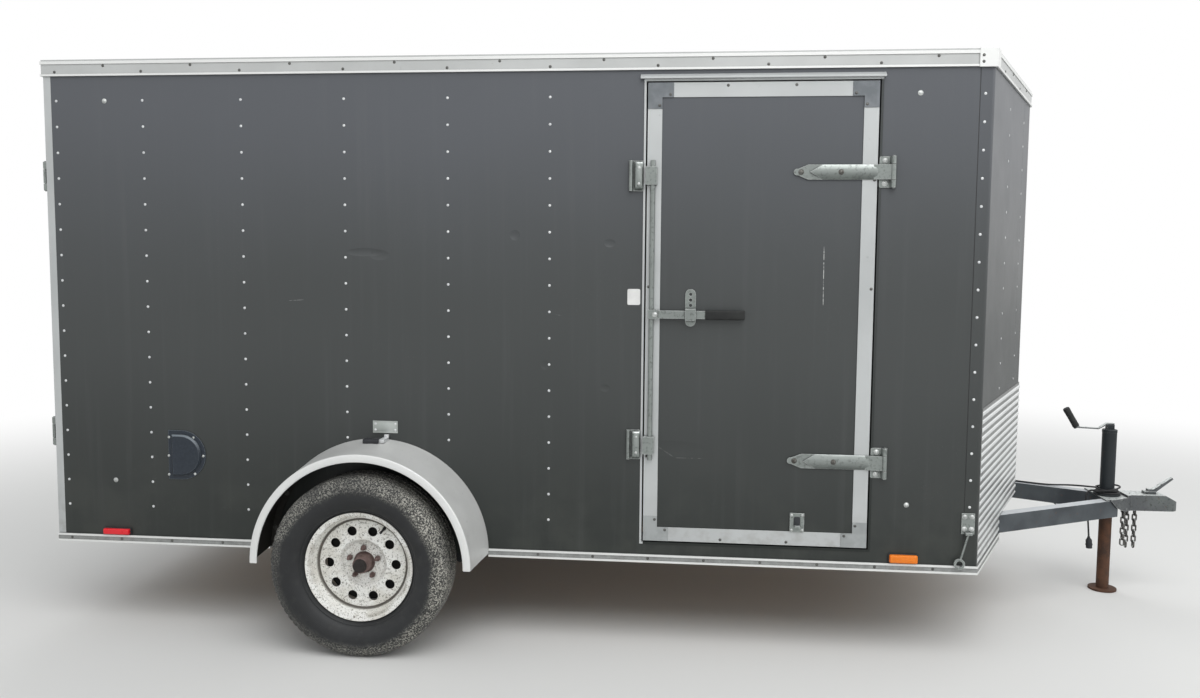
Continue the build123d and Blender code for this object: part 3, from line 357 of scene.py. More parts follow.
def loft(bm, sections, place, rounds=5):
    # rounded rectangles (along, half width, half height, corner) joined into one bar
    rings = []
    for along, wide, high, corner in sections:
        ring = []
        for quarter, (sx, sy) in enumerate(((1, 1), (-1, 1), (-1, -1), (1, -1))):
            for i in range(rounds + 1):
                angle = pi / 2 * (quarter + i / rounds)
                ring.append(bm.verts.new(place @ Vector((
                    sx * (wide - corner) + corner * cos(angle),
                    sy * (high - corner) + corner * sin(angle), along))))
        rings.append(ring)
    bm.faces.new(rings[0][::-1])
    bm.faces.new(rings[-1])
    for first, second in zip(rings, rings[1:]):
        for i in range(len(first)):
            j = (i + 1) % len(first)
            bm.faces.new((first[i], first[j], second[j], second[i]))


def wallLoft(bm, piece, x, z):
    # a rounded block on the near wall; sections are distance out, drawn in by, and corner
    sections = [(out, piece["wide"] - less, piece["tall"] - less, corner)
                for out, less, corner in piece["sections"]]
    loft(bm, sections, onWall(x, z))


# floor, backdrop and lamps
stage = {
    "floorSize": 60.0, "floorDrop": 0.001, "floorTone": (226, 226, 224), "fadeFrom": 3.6,
    "fadeTo": 7.5, "worldTone": (0.97, 0.985, 1.0, 1), "worldLight": 0.62,
    # place, looks at, size, power
    "lamps": (((1.4, -5.2, 7.6), (0.4, 0.0, 0.8), 6.5, 330.0),
              ((5.5, -3.0, 4.5), (0.8, 0.0, 0.8), 4.0, 80.0),
              ((-2.0, 6.5, 6.5), (0.0, 0.0, 0.8), 7.0, 160.0)),
}
white = (1, 1, 1, 1)


def setWorld():
    # plain sky that gives the light, white where the camera, gloss or glass meets it
    world = bpy.data.worlds.new("studio")
    bpy.context.scene.world = world
    world.use_nodes = True
    tree = world.node_tree
    tree.nodes.clear()
    rays = tree.nodes.new("ShaderNodeLightPath")
    seen = rays.outputs["Is Camera Ray"]
    for ray in ("Is Glossy Ray", "Is Transmission Ray"):
        most = tree.nodes.new("ShaderNodeMath")
        most.operation = "MAXIMUM"
        tree.links.new(seen, most.inputs[0])
        tree.links.new(rays.outputs[ray], most.inputs[1])
        seen = most.outputs[0]
    choose = tree.nodes.new("ShaderNodeMixShader")
    tree.links.new(seen, choose.inputs[0])
    for socket, tone, strength in ((1, stage["worldTone"], stage["worldLight"]), (2, white, 1.0)):
        sky = tree.nodes.new("ShaderNodeBackground")
        sky.inputs[0].default_value = tone
        sky.inputs[1].default_value = strength
        tree.links.new(sky.outputs[0], choose.inputs[socket])
    output = tree.nodes.new("ShaderNodeOutputWorld")
    tree.links.new(choose.outputs[0], output.inputs[0])


def setFloor():
    # pale floor that fades to white with distance
    ground = Finish("groundSheet", Roughness=0.9)
    x, y = ground.axes()[:2]
    ground.feed(Base_Color=paint(*stage["floorTone"]))
    away = (x * x + y * y).step("SQRT").rise(stage["fadeFrom"], stage["fadeTo"])
    seen = ground.node("ShaderNodeLightPath", {}, {}, "Is Camera Ray")
    glow = ground.node("ShaderNodeEmission", {}, {"Color": white, "Strength": 1.0})
    bare = Wire(ground, ground.shader.outputs[0])
    blend = ground.node("ShaderNodeMixShader", {}, {0: away * seen, 1: bare, 2: glow})
    ground.join(ground.output.inputs[0], blend)
    reach = stage["floorSize"] / 2
    drop = stage["floorDrop"]
    mesh = bpy.data.meshes.new("studioFloor")
    mesh.from_pydata([(-reach, -reach, -drop), (reach, -reach, -drop), (reach, reach, -drop),
                      (-reach, reach, -drop)], [], [(0, 1, 2, 3)])
    mesh.materials.append(ground.material)
    floor = addObject("studioFloor", mesh)


def setLamps():
    for place, target, size, power in stage["lamps"]:
        light = bpy.data.lights.new("softBox", "AREA")
        light.shape = "SQUARE"
        light.size = size
        light.energy = power
        lamp = addObject("softBox", light)
        lamp.location = place
        lamp.rotation_euler = (Vector(target) - Vector(place)).to_track_quat("-Z", "Y").to_euler()


setWorld()
setFloor()
setLamps()
bpy.context.scene.view_settings.view_transform = "Standard"
print("stage set")


# finishes: tones out of 255, sizes in metres
# low, middle and high: tones of a painted reflection of the sky, darker at the foot and lighter at
# the top
skin = {"low": (34, 39, 36), "middle": (64, 67, 67), "high": (86, 89, 94), "postPitch": 0.4064,
        "dust": (92, 94, 88), "firstPost": 0.0075, "wave": 0.0009,
        "lap": 0.050,                       # joint of the nose sheet, back from the corner
        "seam": 0.8175,                     # joint on the facet, from the corner
        # depths at which the bare inner side begins
        "lining": {"wall": (0.0292, 0.0300), "rear": (0.0262, 0.0285)}}


def skinFinish(name, lining, marks=(), dents=()):
    # charcoal painted sheet over upright posts, bare plywood on its inner side
    finish = Finish(name, IOR=1.5)
    x, y, z = finish.axes()
    broad = finish.noise(0.9, 2.0)
    streaks = finish.noise(1.0, 4.0, 0.6, finish.stretch((22, 22, 0.8)))
    film = finish.noise(5.0, 6.0, 0.65)
    # darker low down and lighter high up, broken by a broad cloud: a painted reflection of the sky
    level = z + (broad - 0.5) * 0.5
    tone = finish.mix(level.rise(0.30, 1.25), skin["low"], skin["middle"])
    tone = finish.mix(level.rise(1.2, 2.2), tone, skin["high"])
    tone = finish.mix(streaks.rise(0.5, 0.85) * 0.12, tone, (112, 114, 114))
    low = z.rise(0.85, 0.30) * film.rise(0.42, 0.7)
    tone = finish.mix(low * 0.20, tone, skin["dust"])
    specks = finish.cells(130.0).rise(0.12, 0.05) * finish.noise(3.0).rise(0.52, 0.64)
    tone = finish.mix(specks * 0.3, tone, (150, 150, 146))
    # lap of the nose sheet on the wall, and its seam on the facet
    aside = abs(y) - half
    out = finish.offFacet()
    ahead = x - trailer["corner"]
    along = ahead * facetAlong.x - aside * facetAlong.y
    lap = abs(ahead + skin["lap"]).rise(0.0020, 0.0008) * aside.rise(-0.004, -0.001)
    seam = abs(along - skin["seam"]).rise(0.0022, 0.0008) * out.rise(-0.004, -0.001)
    joint = lap.most(seam)
    tone = finish.mix(joint * 0.85, tone, (22, 23, 24))
    wander = finish.noise(90.0, 2.0).rise(0.36, 0.6)
    for x0, z0, x1, z1, width, strength in marks:
        length = hypot(x1 - x0, z1 - z0)
        ux = (x1 - x0) / length
        uz = (z1 - z0) / length
        run = (x - x0) * ux + (z - z0) * uz
        off = abs((x - x0) * uz - (z - z0) * ux).rise(width, width * 0.3)
        line = run.rise(0.0, 0.01) * run.rise(length, length - 0.02)
        tone = finish.mix(off * line * wander * strength, tone, (205, 206, 204))
    # sheet pulled in at the posts, slightly full between them
    wave = ((x - (rear + skin["firstPost"])) * (pi / skin["postPitch"])).step("SINE")
    height = wave * wave * skin["wave"] + finish.noise(2.2, 1.0, 0.4) * 0.0020
    for x0, z0, width, tall, depth in dents:
        dx = (x - x0) / width
        dz = (z - z0) / tall
        height = height - (1 - dx * dx - dz * dz).most(0) * depth
    height = height + finish.noise(420.0, 1.0) * 0.00001 - joint * 0.0006
    # painted shade in corners and beside what stands on the sheet
    tone = finish.mix(finish.cornerShade(0.007) * 0.7, tone, (20, 21, 22))
    # inner side: the distance in from the outer face tells it
    depth = x - rear if lining == "rear" else 0 - aside.most(out)
    inner = depth.rise(*skin["lining"][lining])
    grain = finish.noise(1.0, 5.0, 0.6, finish.stretch((34, 34, 2.2)))
    wood = finish.mix(grain.rise(0.35, 0.7), (196, 168, 126), (160, 126, 88))
    finish.feed(Base_Color=finish.mix(inner, tone, wood), Normal=finish.bump(height, 0.002),
                Roughness=0.34 + film * 0.14 + low * 0.2 + inner * 0.3)
    return finish


def millFinish(name, bright, dark, metal, rough, ribbed=False, grime=0.3, lips=0.0):
    # satin aluminium sheet, faintly clouded, dirty where the road reaches
    finish = Finish(name)
    y, z = finish.axes()[1:]
    bloom = finish.noise(3.2, 3.0, 0.5)
    fine = finish.noise(46.0, 3.0, 0.6)
    tone = finish.mix(bloom.rise(0.3, 0.75), bright, dark)
    spots = finish.noise(34.0, 4.0, 0.7).rise(0.66, 0.76) * 0.35
    tone = finish.mix(spots, tone, tuple(level * 0.80 for level in dark))
    # painted shade in corners and beside what stands on the sheet
    tone = finish.mix(finish.cornerShade(0.006) * 0.6, tone, (70, 70, 66))
    dirt = z.rise(0.62, 0.34) * finish.noise(22.0, 4.0).rise(0.40, 0.68)
    tone = finish.mix(dirt * grime, tone, (118, 112, 100))
    if ribbed:
        shade = finish.offFacet().rise(0.0036, 0.0022)
        tone = finish.mix(shade * (0.6 + fine * 0.4), tone, (70, 71, 69))
    if lips:
        # painted highlight on the raised lips; the band between them is darkened, as dirt and
        # painted shade
        proud = (abs(y) - half).most(finish.offFacet()).rise(0.0058, 0.0070)
        tone = finish.mix((1 - proud) * (0.4 + fine * 0.6) * lips, tone, (84, 84, 80))
        tone = finish.mix(proud * 0.8, tone, (240, 241, 239))
    finish.feed(Base_Color=tone, Metallic=metal, Roughness=rough + bloom * 0.12,
                Normal=finish.bump(fine * 0.00003 + bloom * 0.0003, 0.0010))
    return finish


def zincFinish(name, tone, dark, rust=0.12, metal=0.75, rough=0.3, blotched=0.4):
    # zinc plate: painted highlight where it faces up, painted shade where it faces down and in its
    # corners
    finish = Finish(name, Metallic=metal)
    cloud = finish.noise(12.0, 3.0, 0.55)
    tint = finish.noise(6.0, 2.0)
    # lighter as a face looks up and darker as it looks down: painted highlight and painted shade
    facing = finish.axes(finish.normal())[2]
    lift = facing + (cloud - 0.5) * 0.3
    body = finish.mix(lift.rise(-0.55, 0.28), dark, tone)
    body = finish.mix(lift.rise(0.26, 0.62) * 0.8, body, (226, 231, 229))
    body = finish.mix(tint.rise(0.5, 0.8) * 0.25, body, (138, 148, 140))
    spots = finish.noise(70.0, 5.0, 0.7).rise(0.62, 0.72) * rust
    body = finish.mix(finish.worn(0.004) * 0.6, body, (228, 231, 230))
    body = finish.mix(spots, body, (112, 76, 50))
    blotch = finish.noise(85.0, 4.0, 0.7)
    body = finish.mix(blotch.rise(0.53, 0.64) * blotched, body, (58, 61, 60))
    # painted shade in corners and beside what stands on the plate
    body = finish.mix(finish.cornerShade(0.016, 0.40, 0.88) * 0.9, body, (30, 32, 31))
    finish.feed(Base_Color=body, Roughness=rough + cloud * 0.12 + spots,
                Normal=finish.bump(cloud * 0.0001 + blotch * 0.0004, 0.0012))
    return finish


def framePaint(name, tone, light, top, chip=0.5, rusty=0.5):
    # weathered paint: painted highlight on upward faces, bare bright edges, rust in places
    finish = Finish(name)
    cloud = finish.noise(6.0, 4.0, 0.58)
    stain = finish.noise(24.0, 5.0, 0.66)
    body = finish.mix(cloud.rise(0.3, 0.7), tone, light)
    # painted highlight on the faces that look up
    facing = finish.axes(finish.normal())[2]
    body = finish.mix(facing.rise(0.6, 0.95) * (0.8 + stain * 0.2), body, top)
    body = finish.mix(stain.rise(0.64, 0.8) * 0.35, body, tuple(level * 0.72 for level in tone))
    wear = finish.worn(0.003) * stain.rise(0.35, 0.6) * chip
    body = finish.mix(wear, body, (196, 198, 198))
    rust = finish.noise(40.0, 6.0, 0.7, finish.stretch((1, 1, 1), (3, 1, 2))).rise(0.61, 0.68)
    body = finish.mix(rust * rusty, body, (98, 66, 46))
    # painted shade in corners and beside what stands on the paint
    body = finish.mix(finish.cornerShade(0.014) * 0.6, body, (30, 30, 30))
    finish.feed(Base_Color=body, Roughness=0.42 + stain * 0.25, Metallic=0.15,
                Normal=finish.bump(stain * 0.0002, 0.0016))
    return finish


def rustFinish(name, tone, dark, light):
    finish = Finish(name)
    cloud = finish.noise(16.0, 6.0, 0.68)
    scale = finish.noise(150.0, 4.0, 0.7)
    body = finish.mix(cloud.rise(0.34, 0.66), tone, dark)
    body = finish.mix(scale.rise(0.56, 0.72) * 0.7, body, light)
    finish.feed(Base_Color=body, Roughness=0.72 + scale * 0.2,
                Normal=finish.bump(scale * 0.0006 + cloud * 0.0006, 0.001))
    return finish


# distances from the axle
rubber = {"dust": (0.284, 0.318), "ringPitch": 0.0052, "ringMiddle": 0.262,
          "ringReach": (0.010, 0.004)}
enamel = {"joint": 0.1725, "lip": 0.192}


def rubberFinish():
    # tyre: dark sides, dry mud and dust over the shoulder and the tread
    finish = Finish("tyreRubber")
    dx, dz, radius = finish.fromAxle()
    broad = finish.noise(5.5, 4.0, 0.62)
    fine = finish.noise(170.0, 5.0, 0.75)
    flecks = finish.cells(190.0).rise(0.42, 0.18)
    edge = radius + (broad - 0.5) * 0.05 + (dx * 0.6 + dz).rise(-0.35, 0.35) * 0.012
    ahead = (dx * 0.9 + dz * 0.35).rise(-0.15, 0.28)
    dust = edge.rise(*rubber["dust"]) * (0.25 + broad.rise(0.38, 0.6) * 0.4 + ahead * 0.4)
    cover = dust * (fine.rise(0.40, 0.56) * 0.75 + flecks * 0.35)
    body = finish.mix(broad.rise(0.3, 0.7), (24, 26, 28), (34, 36, 38))
    body = finish.mix(finish.noise(30.0, 5.0).rise(0.5, 0.8) * 0.2, body, (76, 75, 72))
    mud = finish.mix(fine.rise(0.47, 0.58), (74, 73, 68), (196, 194, 184))
    body = finish.mix(cover.least(0.9), body, mud)
    # fine rings moulded round the side
    ring = (radius * (2 * pi / rubber["ringPitch"])).step("SINE")
    ring = ring * abs(radius - rubber["ringMiddle"]).rise(*rubber["ringReach"])
    finish.feed(Base_Color=body, Roughness=0.58 + cover * 0.3,
                Normal=finish.bump(fine * 0.0005 * dust.most(0.15) + ring * 0.0002))
    return finish


def wheelFinish():
    # white enamel with brake dust, rust specks and a dark joint
    finish = Finish("wheelEnamel")
    radius = finish.fromAxle()[2]
    cloud = finish.noise(14.0, 5.0, 0.66)
    specks = finish.noise(170.0, 5.0, 0.75)
    body = finish.mix(cloud.rise(0.34, 0.7), (244, 244, 240), (224, 222, 214))
    body = finish.mix(specks.rise(0.54, 0.61) * 0.85, body, (92, 86, 73))
    groove = abs(radius - enamel["joint"]).rise(0.0060, 0.0020)
    body = finish.mix(groove * 0.85, body, (62, 58, 52))
    lip = abs(radius - enamel["lip"]).rise(0.008, 0.002) * cloud.rise(0.4, 0.6)
    body = finish.mix(lip * 0.4, body, (120, 112, 98))
    # painted shade in corners and beside raised parts
    body = finish.mix(finish.cornerShade(0.014, 0.4, 0.88) * 0.6, body, (84, 74, 60))
    # the inner half of the wheel, towards the trailer, is darkened as painted shade
    middle = trailer["wheelY"]
    inside = abs(finish.axes()[1]).rise(middle - 0.001, middle - 0.02)
    body = finish.mix(inside, body, (34, 33, 32))
    rust = finish.noise(40.0, 6.0, 0.7).rise(0.61, 0.68) * finish.worn(0.006).most(0.25)
    body = finish.mix(rust, body, (122, 76, 46))
    finish.feed(Base_Color=body, Roughness=0.38 + cloud * 0.25,
                Normal=finish.bump(specks * 0.0002, 0.001))
    return finish


def plainFinish(name, tone, other, rough, grain=90.0, metal=0.0, lift=0.0002):
    finish = Finish(name, Metallic=metal)
    cloud = finish.noise(grain * 0.2, 4.0)
    fine = finish.noise(grain, 3.0)
    finish.feed(Base_Color=finish.mix(cloud.rise(0.35, 0.68), tone, other),
                Roughness=rough + fine * 0.12,
                Normal=finish.bump(fine * lift, 0.001))
    return finish


flutePitch = 0.0045


def lensFinish(name, tone, deep):
    # moulded lens with upright flutes
    finish = Finish(name, Coat_Weight=0.25, Coat_Roughness=0.12)
    x, y = finish.axes()[:2]
    flute = ((x + y) * (2 * pi / flutePitch)).step("SINE")
    finish.feed(Base_Color=finish.mix(flute.rise(-0.6, 0.9), deep, tone),
                Roughness=0.22 + finish.noise(80.0) * 0.15,
                Normal=finish.bump(flute * 0.0004, 0.002))
    return finish


# radius of the sheet at its foot, how it comes in towards its edge, and where that is
sheet = {"radius": 0.4463, "foot": 0.003, "taper": 0.0914, "inside": (0.2262, 0.2240),
         "rolled": (0.2235, 0.2275)}


def fenderFinish():
    # bright sheet outside; the underside and the flange on the wall darkened as road dirt and
    # painted shade; painted highlight on the rolled edge
    finish = Finish("fenderSheet", Metallic=0.15)
    radius = finish.fromAxle()[2]
    out = abs(finish.axes()[1]) - half
    outer = sheet["radius"] - (out - sheet["foot"]) * sheet["taper"]
    cloud = finish.noise(4.0, 3.0, 0.5)
    fine = finish.noise(60.0, 4.0, 0.6)
    under = (outer - radius).rise(0.0010, 0.0022) * out.rise(*sheet["inside"])
    body = finish.mix(cloud.rise(0.3, 0.7), (221, 222, 220), (204, 205, 203))
    body = finish.mix(fine.rise(0.62, 0.76) * 0.3, body, (150, 152, 150))
    # painted shade in corners and beside what stands on the sheet
    body = finish.mix(finish.cornerShade(0.008) * 0.5, body, (84, 84, 80))
    # underside and flange darkened, as road dirt and painted shade
    body = finish.mix(under, body, finish.mix(fine, (40, 40, 39), (66, 63, 58)))
    # painted highlight along the rolled edge
    body = finish.mix(out.rise(*sheet["rolled"]) * 0.7, body, (236, 237, 235))
    finish.feed(Base_Color=body, Roughness=0.36 + cloud * 0.14 + under * 0.3,
                Normal=finish.bump(cloud * 0.0006 + fine * 0.00004, 0.001))
    return finish


# the painted part of the door's ring: from where forwards, and below where
ring = {"hingeSide": (0.8650, 0.8665), "belowHead": (2.170, 2.165), "sill": (0.4185, 0.4170),
        "aheadOfLock": (0.0160, 0.0175)}


def doorFrameFinish():
    # mill ring round the side door, painted like the skin along the hinge side and the sill
    finish = Finish("doorFrame", Metallic=0.3)
    x, z = finish.axes()[::2]
    cloud = finish.noise(3.2, 3.0, 0.5)
    body = finish.mix(cloud.rise(0.3, 0.75), (196, 199, 199), (184, 187, 187))
    # painted shade in corners and beside what stands on the ring
    body = finish.mix(finish.cornerShade(0.006) * 0.6, body, (70, 70, 66))
    side = x.rise(*ring["hingeSide"]) * z.rise(*ring["belowHead"])
    sill = z.rise(*ring["sill"]) * x.rise(*ring["aheadOfLock"])
    # the skin's tones, darker low down, carry its painted reflection of the sky
    skinTone = finish.mix(z.rise(0.3, 1.6), skin["low"], skin["middle"])
    body = finish.mix(side.most(sill), body, skinTone)
    finish.feed(Base_Color=body, Roughness=0.36 + cloud * 0.12,
                Normal=finish.bump(cloud * 0.0003, 0.001))
    return finish


def ventFinish():
    # dark moulded plastic, lighter on upward faces and edges as painted highlight
    finish = Finish("ventPlastic")
    fine = finish.noise(120.0, 3.0)
    facing = finish.axes(finish.normal())[2]
    body = finish.mix(fine.rise(0.35, 0.7), (26, 36, 47), (36, 45, 56))
    # painted highlight on the faces that look up and on the edges
    body = finish.mix(facing.rise(0.1, 0.7) * 0.5, body, (150, 160, 168))
    body = finish.mix(finish.worn(0.004) * 0.5, body, (150, 160, 166))
    # painted shade in corners and beside raised parts
    body = finish.mix(finish.cornerShade(0.012, 0.4, 0.9) * 0.7, body, (10, 12, 14))
    finish.feed(Base_Color=body, Roughness=0.34 + fine * 0.12,
                Normal=finish.bump(fine * 0.0002, 0.0015))
    return finish


def plyFinish():
    finish = Finish("deckPlywood")
    grain = finish.noise(1.0, 5.0, 0.6, finish.stretch((3, 46, 46)))
    rings = finish.noise(6.0, 3.0, 0.6, finish.stretch((1, 8, 8)))
    tone = finish.mix(grain.rise(0.35, 0.7), (190, 158, 116), (150, 116, 78))
    finish.feed(Base_Color=tone, Roughness=0.65 + rings * 0.2,
                Normal=finish.bump(grain * 0.0004))
    return finish


# scratches: from x, z to x, z, half width, strength
marksNear = ((0.6810, 1.335, 0.6790, 1.560, 0.0016, 1.0),
             (0.050, 0.80, 0.1365, 0.745, 0.0012, 0.2), (0.1365, 0.745, 0.255, 0.745, 0.0012, 0.2),
             (-1.40, 1.33, -1.32, 1.335, 0.001, 0.5), (-0.33, 1.29, -0.30, 1.285, 0.001, 0.35))
# dents: middle x and z, half length, half height, depth
dentsNear = ((-1.0795, 1.523, 0.075, 0.016, 0.0030), (-1.02, 1.512, 0.04, 0.02, 0.0026),
             (-0.4875, 1.592, 0.02, 0.02, 0.0028), (-0.1215, 1.564, 0.022, 0.016, 0.0026),
             (-0.3685, 1.093, 0.018, 0.018, 0.0018), (-0.1355, 1.009, 0.02, 0.014, 0.0020),
             (0.11, 0.78, 0.16, 0.03, 0.0014))
finishes = {
    "skinNear": skinFinish("skinNear", "wall", marksNear, dentsNear),
    "skin": skinFinish("skin", "wall"),
    "rearSkin": skinFinish("rearSkin", "rear"),
    "roof": millFinish("roofSheet", (190, 192, 194), (182, 184, 186), 0.2, 0.46),
    "trim": millFinish("millTrim", (196, 199, 199), (184, 187, 187), 0.35, 0.36),
    "topTrim": millFinish("topTrim", (200, 202, 201), (188, 190, 189), 0.35, 0.36, lips=0.10),
    "sillTrim": millFinish("sillTrim", (206, 209, 208), (192, 195, 194), 0.3, 0.38, grime=0.1,
                           lips=0.8),
    "guard": millFinish("ribbedGuard", (238, 240, 240), (224, 227, 227), 0.4, 0.3, ribbed=True),
    "fender": fenderFinish(),
    "doorFrame": doorFrameFinish(),
    "zinc": zincFinish("zincPlate", (156, 162, 159), (88, 94, 91), metal=0.6, rough=0.24),
    "coupler": zincFinish("couplerZinc", (100, 103, 105), (50, 52, 55), 0.8, 0.4, 0.40, 0.75),
    "chain": zincFinish("chainSteel", (108, 106, 102), (54, 52, 50), 0.9, 0.6, 0.4),
    "frame": framePaint("framePaint", (54, 59, 64), (82, 88, 92), (206, 210, 213), 0.7, 0.4),
    "under": framePaint("underPaint", (40, 42, 44), (54, 56, 58), (84, 84, 80), 0.2, 0.7),
    "jack": framePaint("jackPaint", (20, 27, 31), (29, 36, 40), (56, 62, 66), 0.3, 0.2),
    "spring": framePaint("springPaint", (38, 37, 37), (52, 50, 48), (62, 60, 56), 0.2),
    "leg": rustFinish("rustySteel", (88, 58, 40), (60, 42, 32), (118, 82, 56)),
    "hub": rustFinish("hubSteel", (124, 104, 100), (88, 70, 66), (152, 134, 126)),
    "hubCap": rustFinish("greaseCap", (44, 38, 36), (30, 27, 26), (66, 54, 48)),
    # near black: painted shade behind the hand holes of the wheels
    "drum": rustFinish("holeShadeBlack", (20, 18, 17), (12, 11, 11), (32, 27, 24)),
    "tyre": rubberFinish(),
    "wheel": wheelFinish(),
    "cable": plainFinish("cableSheath", (24, 24, 26), (36, 36, 38), 0.5, 160.0),
    "plastic": plainFinish("blackPlastic", (32, 34, 38), (46, 48, 52), 0.5, 120.0),
    "vent": ventFinish(),
    "grip": plainFinish("gripRubber", (18, 20, 20), (32, 34, 33), 0.62, 220.0, 0.0, 0.0006),
    "rivet": plainFinish("rivetAluminium", (226, 228, 228), (204, 206, 208), 0.3, 300.0, 0.4),
    "screw": plainFinish("screwSteel", (104, 104, 101), (74, 74, 72), 0.34, 300.0, 0.4),
    "boltHead": plainFinish("boltHead", (206, 209, 207), (164, 167, 165), 0.28, 260.0, 0.5),
    "strapBolt": plainFinish("strapBolt", (112, 112, 108), (66, 63, 58), 0.32, 420.0, 0.5),
    "plate": plainFinish("blankPlate", (190, 195, 192), (176, 182, 178), 0.32, 60.0, 0.5),
    "label": plainFinish("blankLabel", (232, 232, 230), (218, 218, 216), 0.5, 60.0),
    # two copies of one cast cap: the darker is painted shade for the upper corners, the lighter
    # painted light for the lower
    "cap": plainFinish("castCap", (124, 128, 132), (108, 113, 117), 0.42, 90.0, 0.4),
    "capLit": plainFinish("castCapLit", (170, 174, 174), (154, 158, 158), 0.4, 90.0, 0.4),
    "amber": lensFinish("amberLens", (255, 148, 0), (240, 112, 0)),
    "red": lensFinish("redLens", (255, 16, 40), (222, 6, 24)),
    "ply": plyFinish(),
}

dressing = {
    "skinNear": ("right_wall", "side_door"),
    "skin": ("left_wall", "nose_right", "nose_left", "nose_centre"),
    "rearSkin": ("rear_door_left", "rear_door_right"),
    "roof": ("roof",),
    "trim": ("rear_frame", "side_door_trim", "rear_trim_right", "rear_trim_left"),
    "topTrim": ("top_trim",),
    "sillTrim": ("bottom_trim",),
    "doorFrame": ("side_door_frame",),
    "guard": ("stone_guard",),
    "fender": ("fenders",),
    "zinc": ("side_door_hardware", "rear_hardware_right", "rear_hardware_left", "door_brackets"),
    "coupler": ("coupler", "jack_crank"),
    "chain": ("safety_chains",),
    "frame": ("tongue",),
    "under": ("main_frame", "axle"),
    "jack": ("jack_tube",),
    "spring": ("leaf_springs",),
    "leg": ("jack_leg",),
    "hub": ("hub_right", "hub_left"),
    "vent": ("side_vents",),
    "amber": ("amber_lamps",),
    "red": ("red_lamps", "tail_lamps"),
    "ply": ("floor",),
}
for finish, names in dressing.items():
    for name in names:
        for slot in nodes[name].material_slots:
            slot.material = finishes[finish].material
print("finishes made", len(finishes))

# light cable
cable = {
    "diameter": 0.008, "length": 2.01,
    # lead from the gland along the drawbar tube, x ahead of the nose apex, in mm
    "lead": ((-160.7, 383.5, 462), (-122, 362, 462), (-66, 333, 451), (-8, 300, 444.6),
             (52, 264, 444.3), (110, 230, 444.3), (168, 199, 444.3), (228, 168, 446),
             (286, 132, 456), (330, 89, 463), (368, 58, 466)),
    "tail": ((352, -21, 467), (338, -9, 465), (326, -7, 458), (318, -10, 444),
             (315, -15, 421), (317, -21, 390), (321, -27, 351), (325, -32, 305),
             (328, -35, 251)),
    # loose turns round the jack: step, radius, height
    "turns": ((0, 56, 465), (3, 54.5, 459), (12, 49.5, 458.6), (15, 45, 458.6), (24, 40.5, 458.6),
              (25, 40.5, 462), (26, 41.5, 465.5), (27, 43.5, 468), (30, 47, 470), (33, 49, 474),
              (36, 47, 477), (39, 52, 487), (41, 56, 487), (43, 58, 475), (44, 58, 468)),
    "stepsPerTurn": 12, "startAngle": 105,
    # radius and distance along, from the end of the cable or from the nose
    "plug": ((0, -0.004), (0.0052, -0.004), (0.006, 0.001), (0.0085, 0.006), (0.012, 0.010),
             (0.0135, 0.014), (0.0135, 0.030), (0.0152, 0.031), (0.0152, 0.036), (0.0135, 0.037),
             (0.0135, 0.049), (0.0125, 0.0505), (0.0095, 0.0505), (0.0095, 0.046), (0, 0.046)),
    "pin": ((0, 0.044), (0.0018, 0.044), (0.0018, 0.0495), (0, 0.0502)), "pinRing": 0.0048,
    "grommet": ((0.0044, 0.026), (0.0058, 0.020), (0.0075, 0.004), (0.0094, 0.0),
                (0.0094, -0.028), (0.0044, -0.028)),
    "flange": ((0.0094, -0.030), (0.0150, -0.030), (0.0160, -0.027), (0.0150, -0.022),
               (0.0094, -0.020)),
}


def coilPoints():
    # spots on the turns, read off the table between its rows
    rows = cable["turns"]
    spots = []
    middle = (trailer["jackX"] - trailer["apex"]) * 1000
    for step in range(rows[-1][0] + 1):
        before = max(row for row in rows if row[0] <= step)
        after = min(row for row in rows if row[0] >= step)
        share = 0 if after == before else (step - before[0]) / (after[0] - before[0])
        radius, height = (a + (b - a) * share for a, b in zip(before[1:], after[1:]))
        angle = radians(cable["startAngle"] - 360 / cable["stepsPerTurn"] * step)
        spots.append((middle + radius * cos(angle), radius * sin(angle), height))
    return spots


def cablePoint(spot):
    x, y, z = spot
    return Vector((trailer["apex"] + x / 1000, y / 1000, z / 1000))


def makeCable():
    spots = [*cable["lead"], *coilPoints(), *cable["tail"]]
    curve = bpy.data.curves.new("lightCable", "CURVE")
    curve.dimensions = "3D"
    curve.bevel_depth = cable["diameter"] / 2
    curve.bevel_resolution = 3
    curve.resolution_u = 8
    curve.use_fill_caps = True
    line = curve.splines.new("NURBS")
    line.points.add(len(spots) - 1)
    for point, spot in zip(line.points, spots):
        point.co = (*cablePoint(spot), 1)
    line.order_u = 3
    line.use_endpoint_u = True
    curve.materials.append(finishes["cable"].material)
    cord = addObject("lightCable", curve)
    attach(cord, "chassis")
    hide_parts("harness_cord", "harness_coil")

    # flat trailer plug with a moulded boot, in line with the tail's last run
    place = turned(cablePoint(spots[-1]), Vector(spots[-1]) - Vector(spots[-2]))
    bm = bmesh.new()
    lathe(bm, cable["plug"], place, 32)
    for turn in range(4):
        lathe(bm, cable["pin"], around(place, cable["pinRing"], pi / 4 + turn * pi / 2), 10)
    plug = keep("lightPlug", outward(bm), "plastic", "chassis", "cable", ("harness_plug",))
    start = cablePoint(spots[0])

    # rubber grommet where the cable leaves the facet, and a tapered relief
    run = Vector(spots[1]) - Vector(spots[0])
    place = turned(start, (run.x, run.y, 0))
    bm = bmesh.new()
    for profile in ("grommet", "flange"):
        lathe(bm, cable[profile], place, 28, closed=True)
    keep("cableGrommet", outward(bm), "plastic", "chassis", "cable")


makeCable()
print("cable laid")

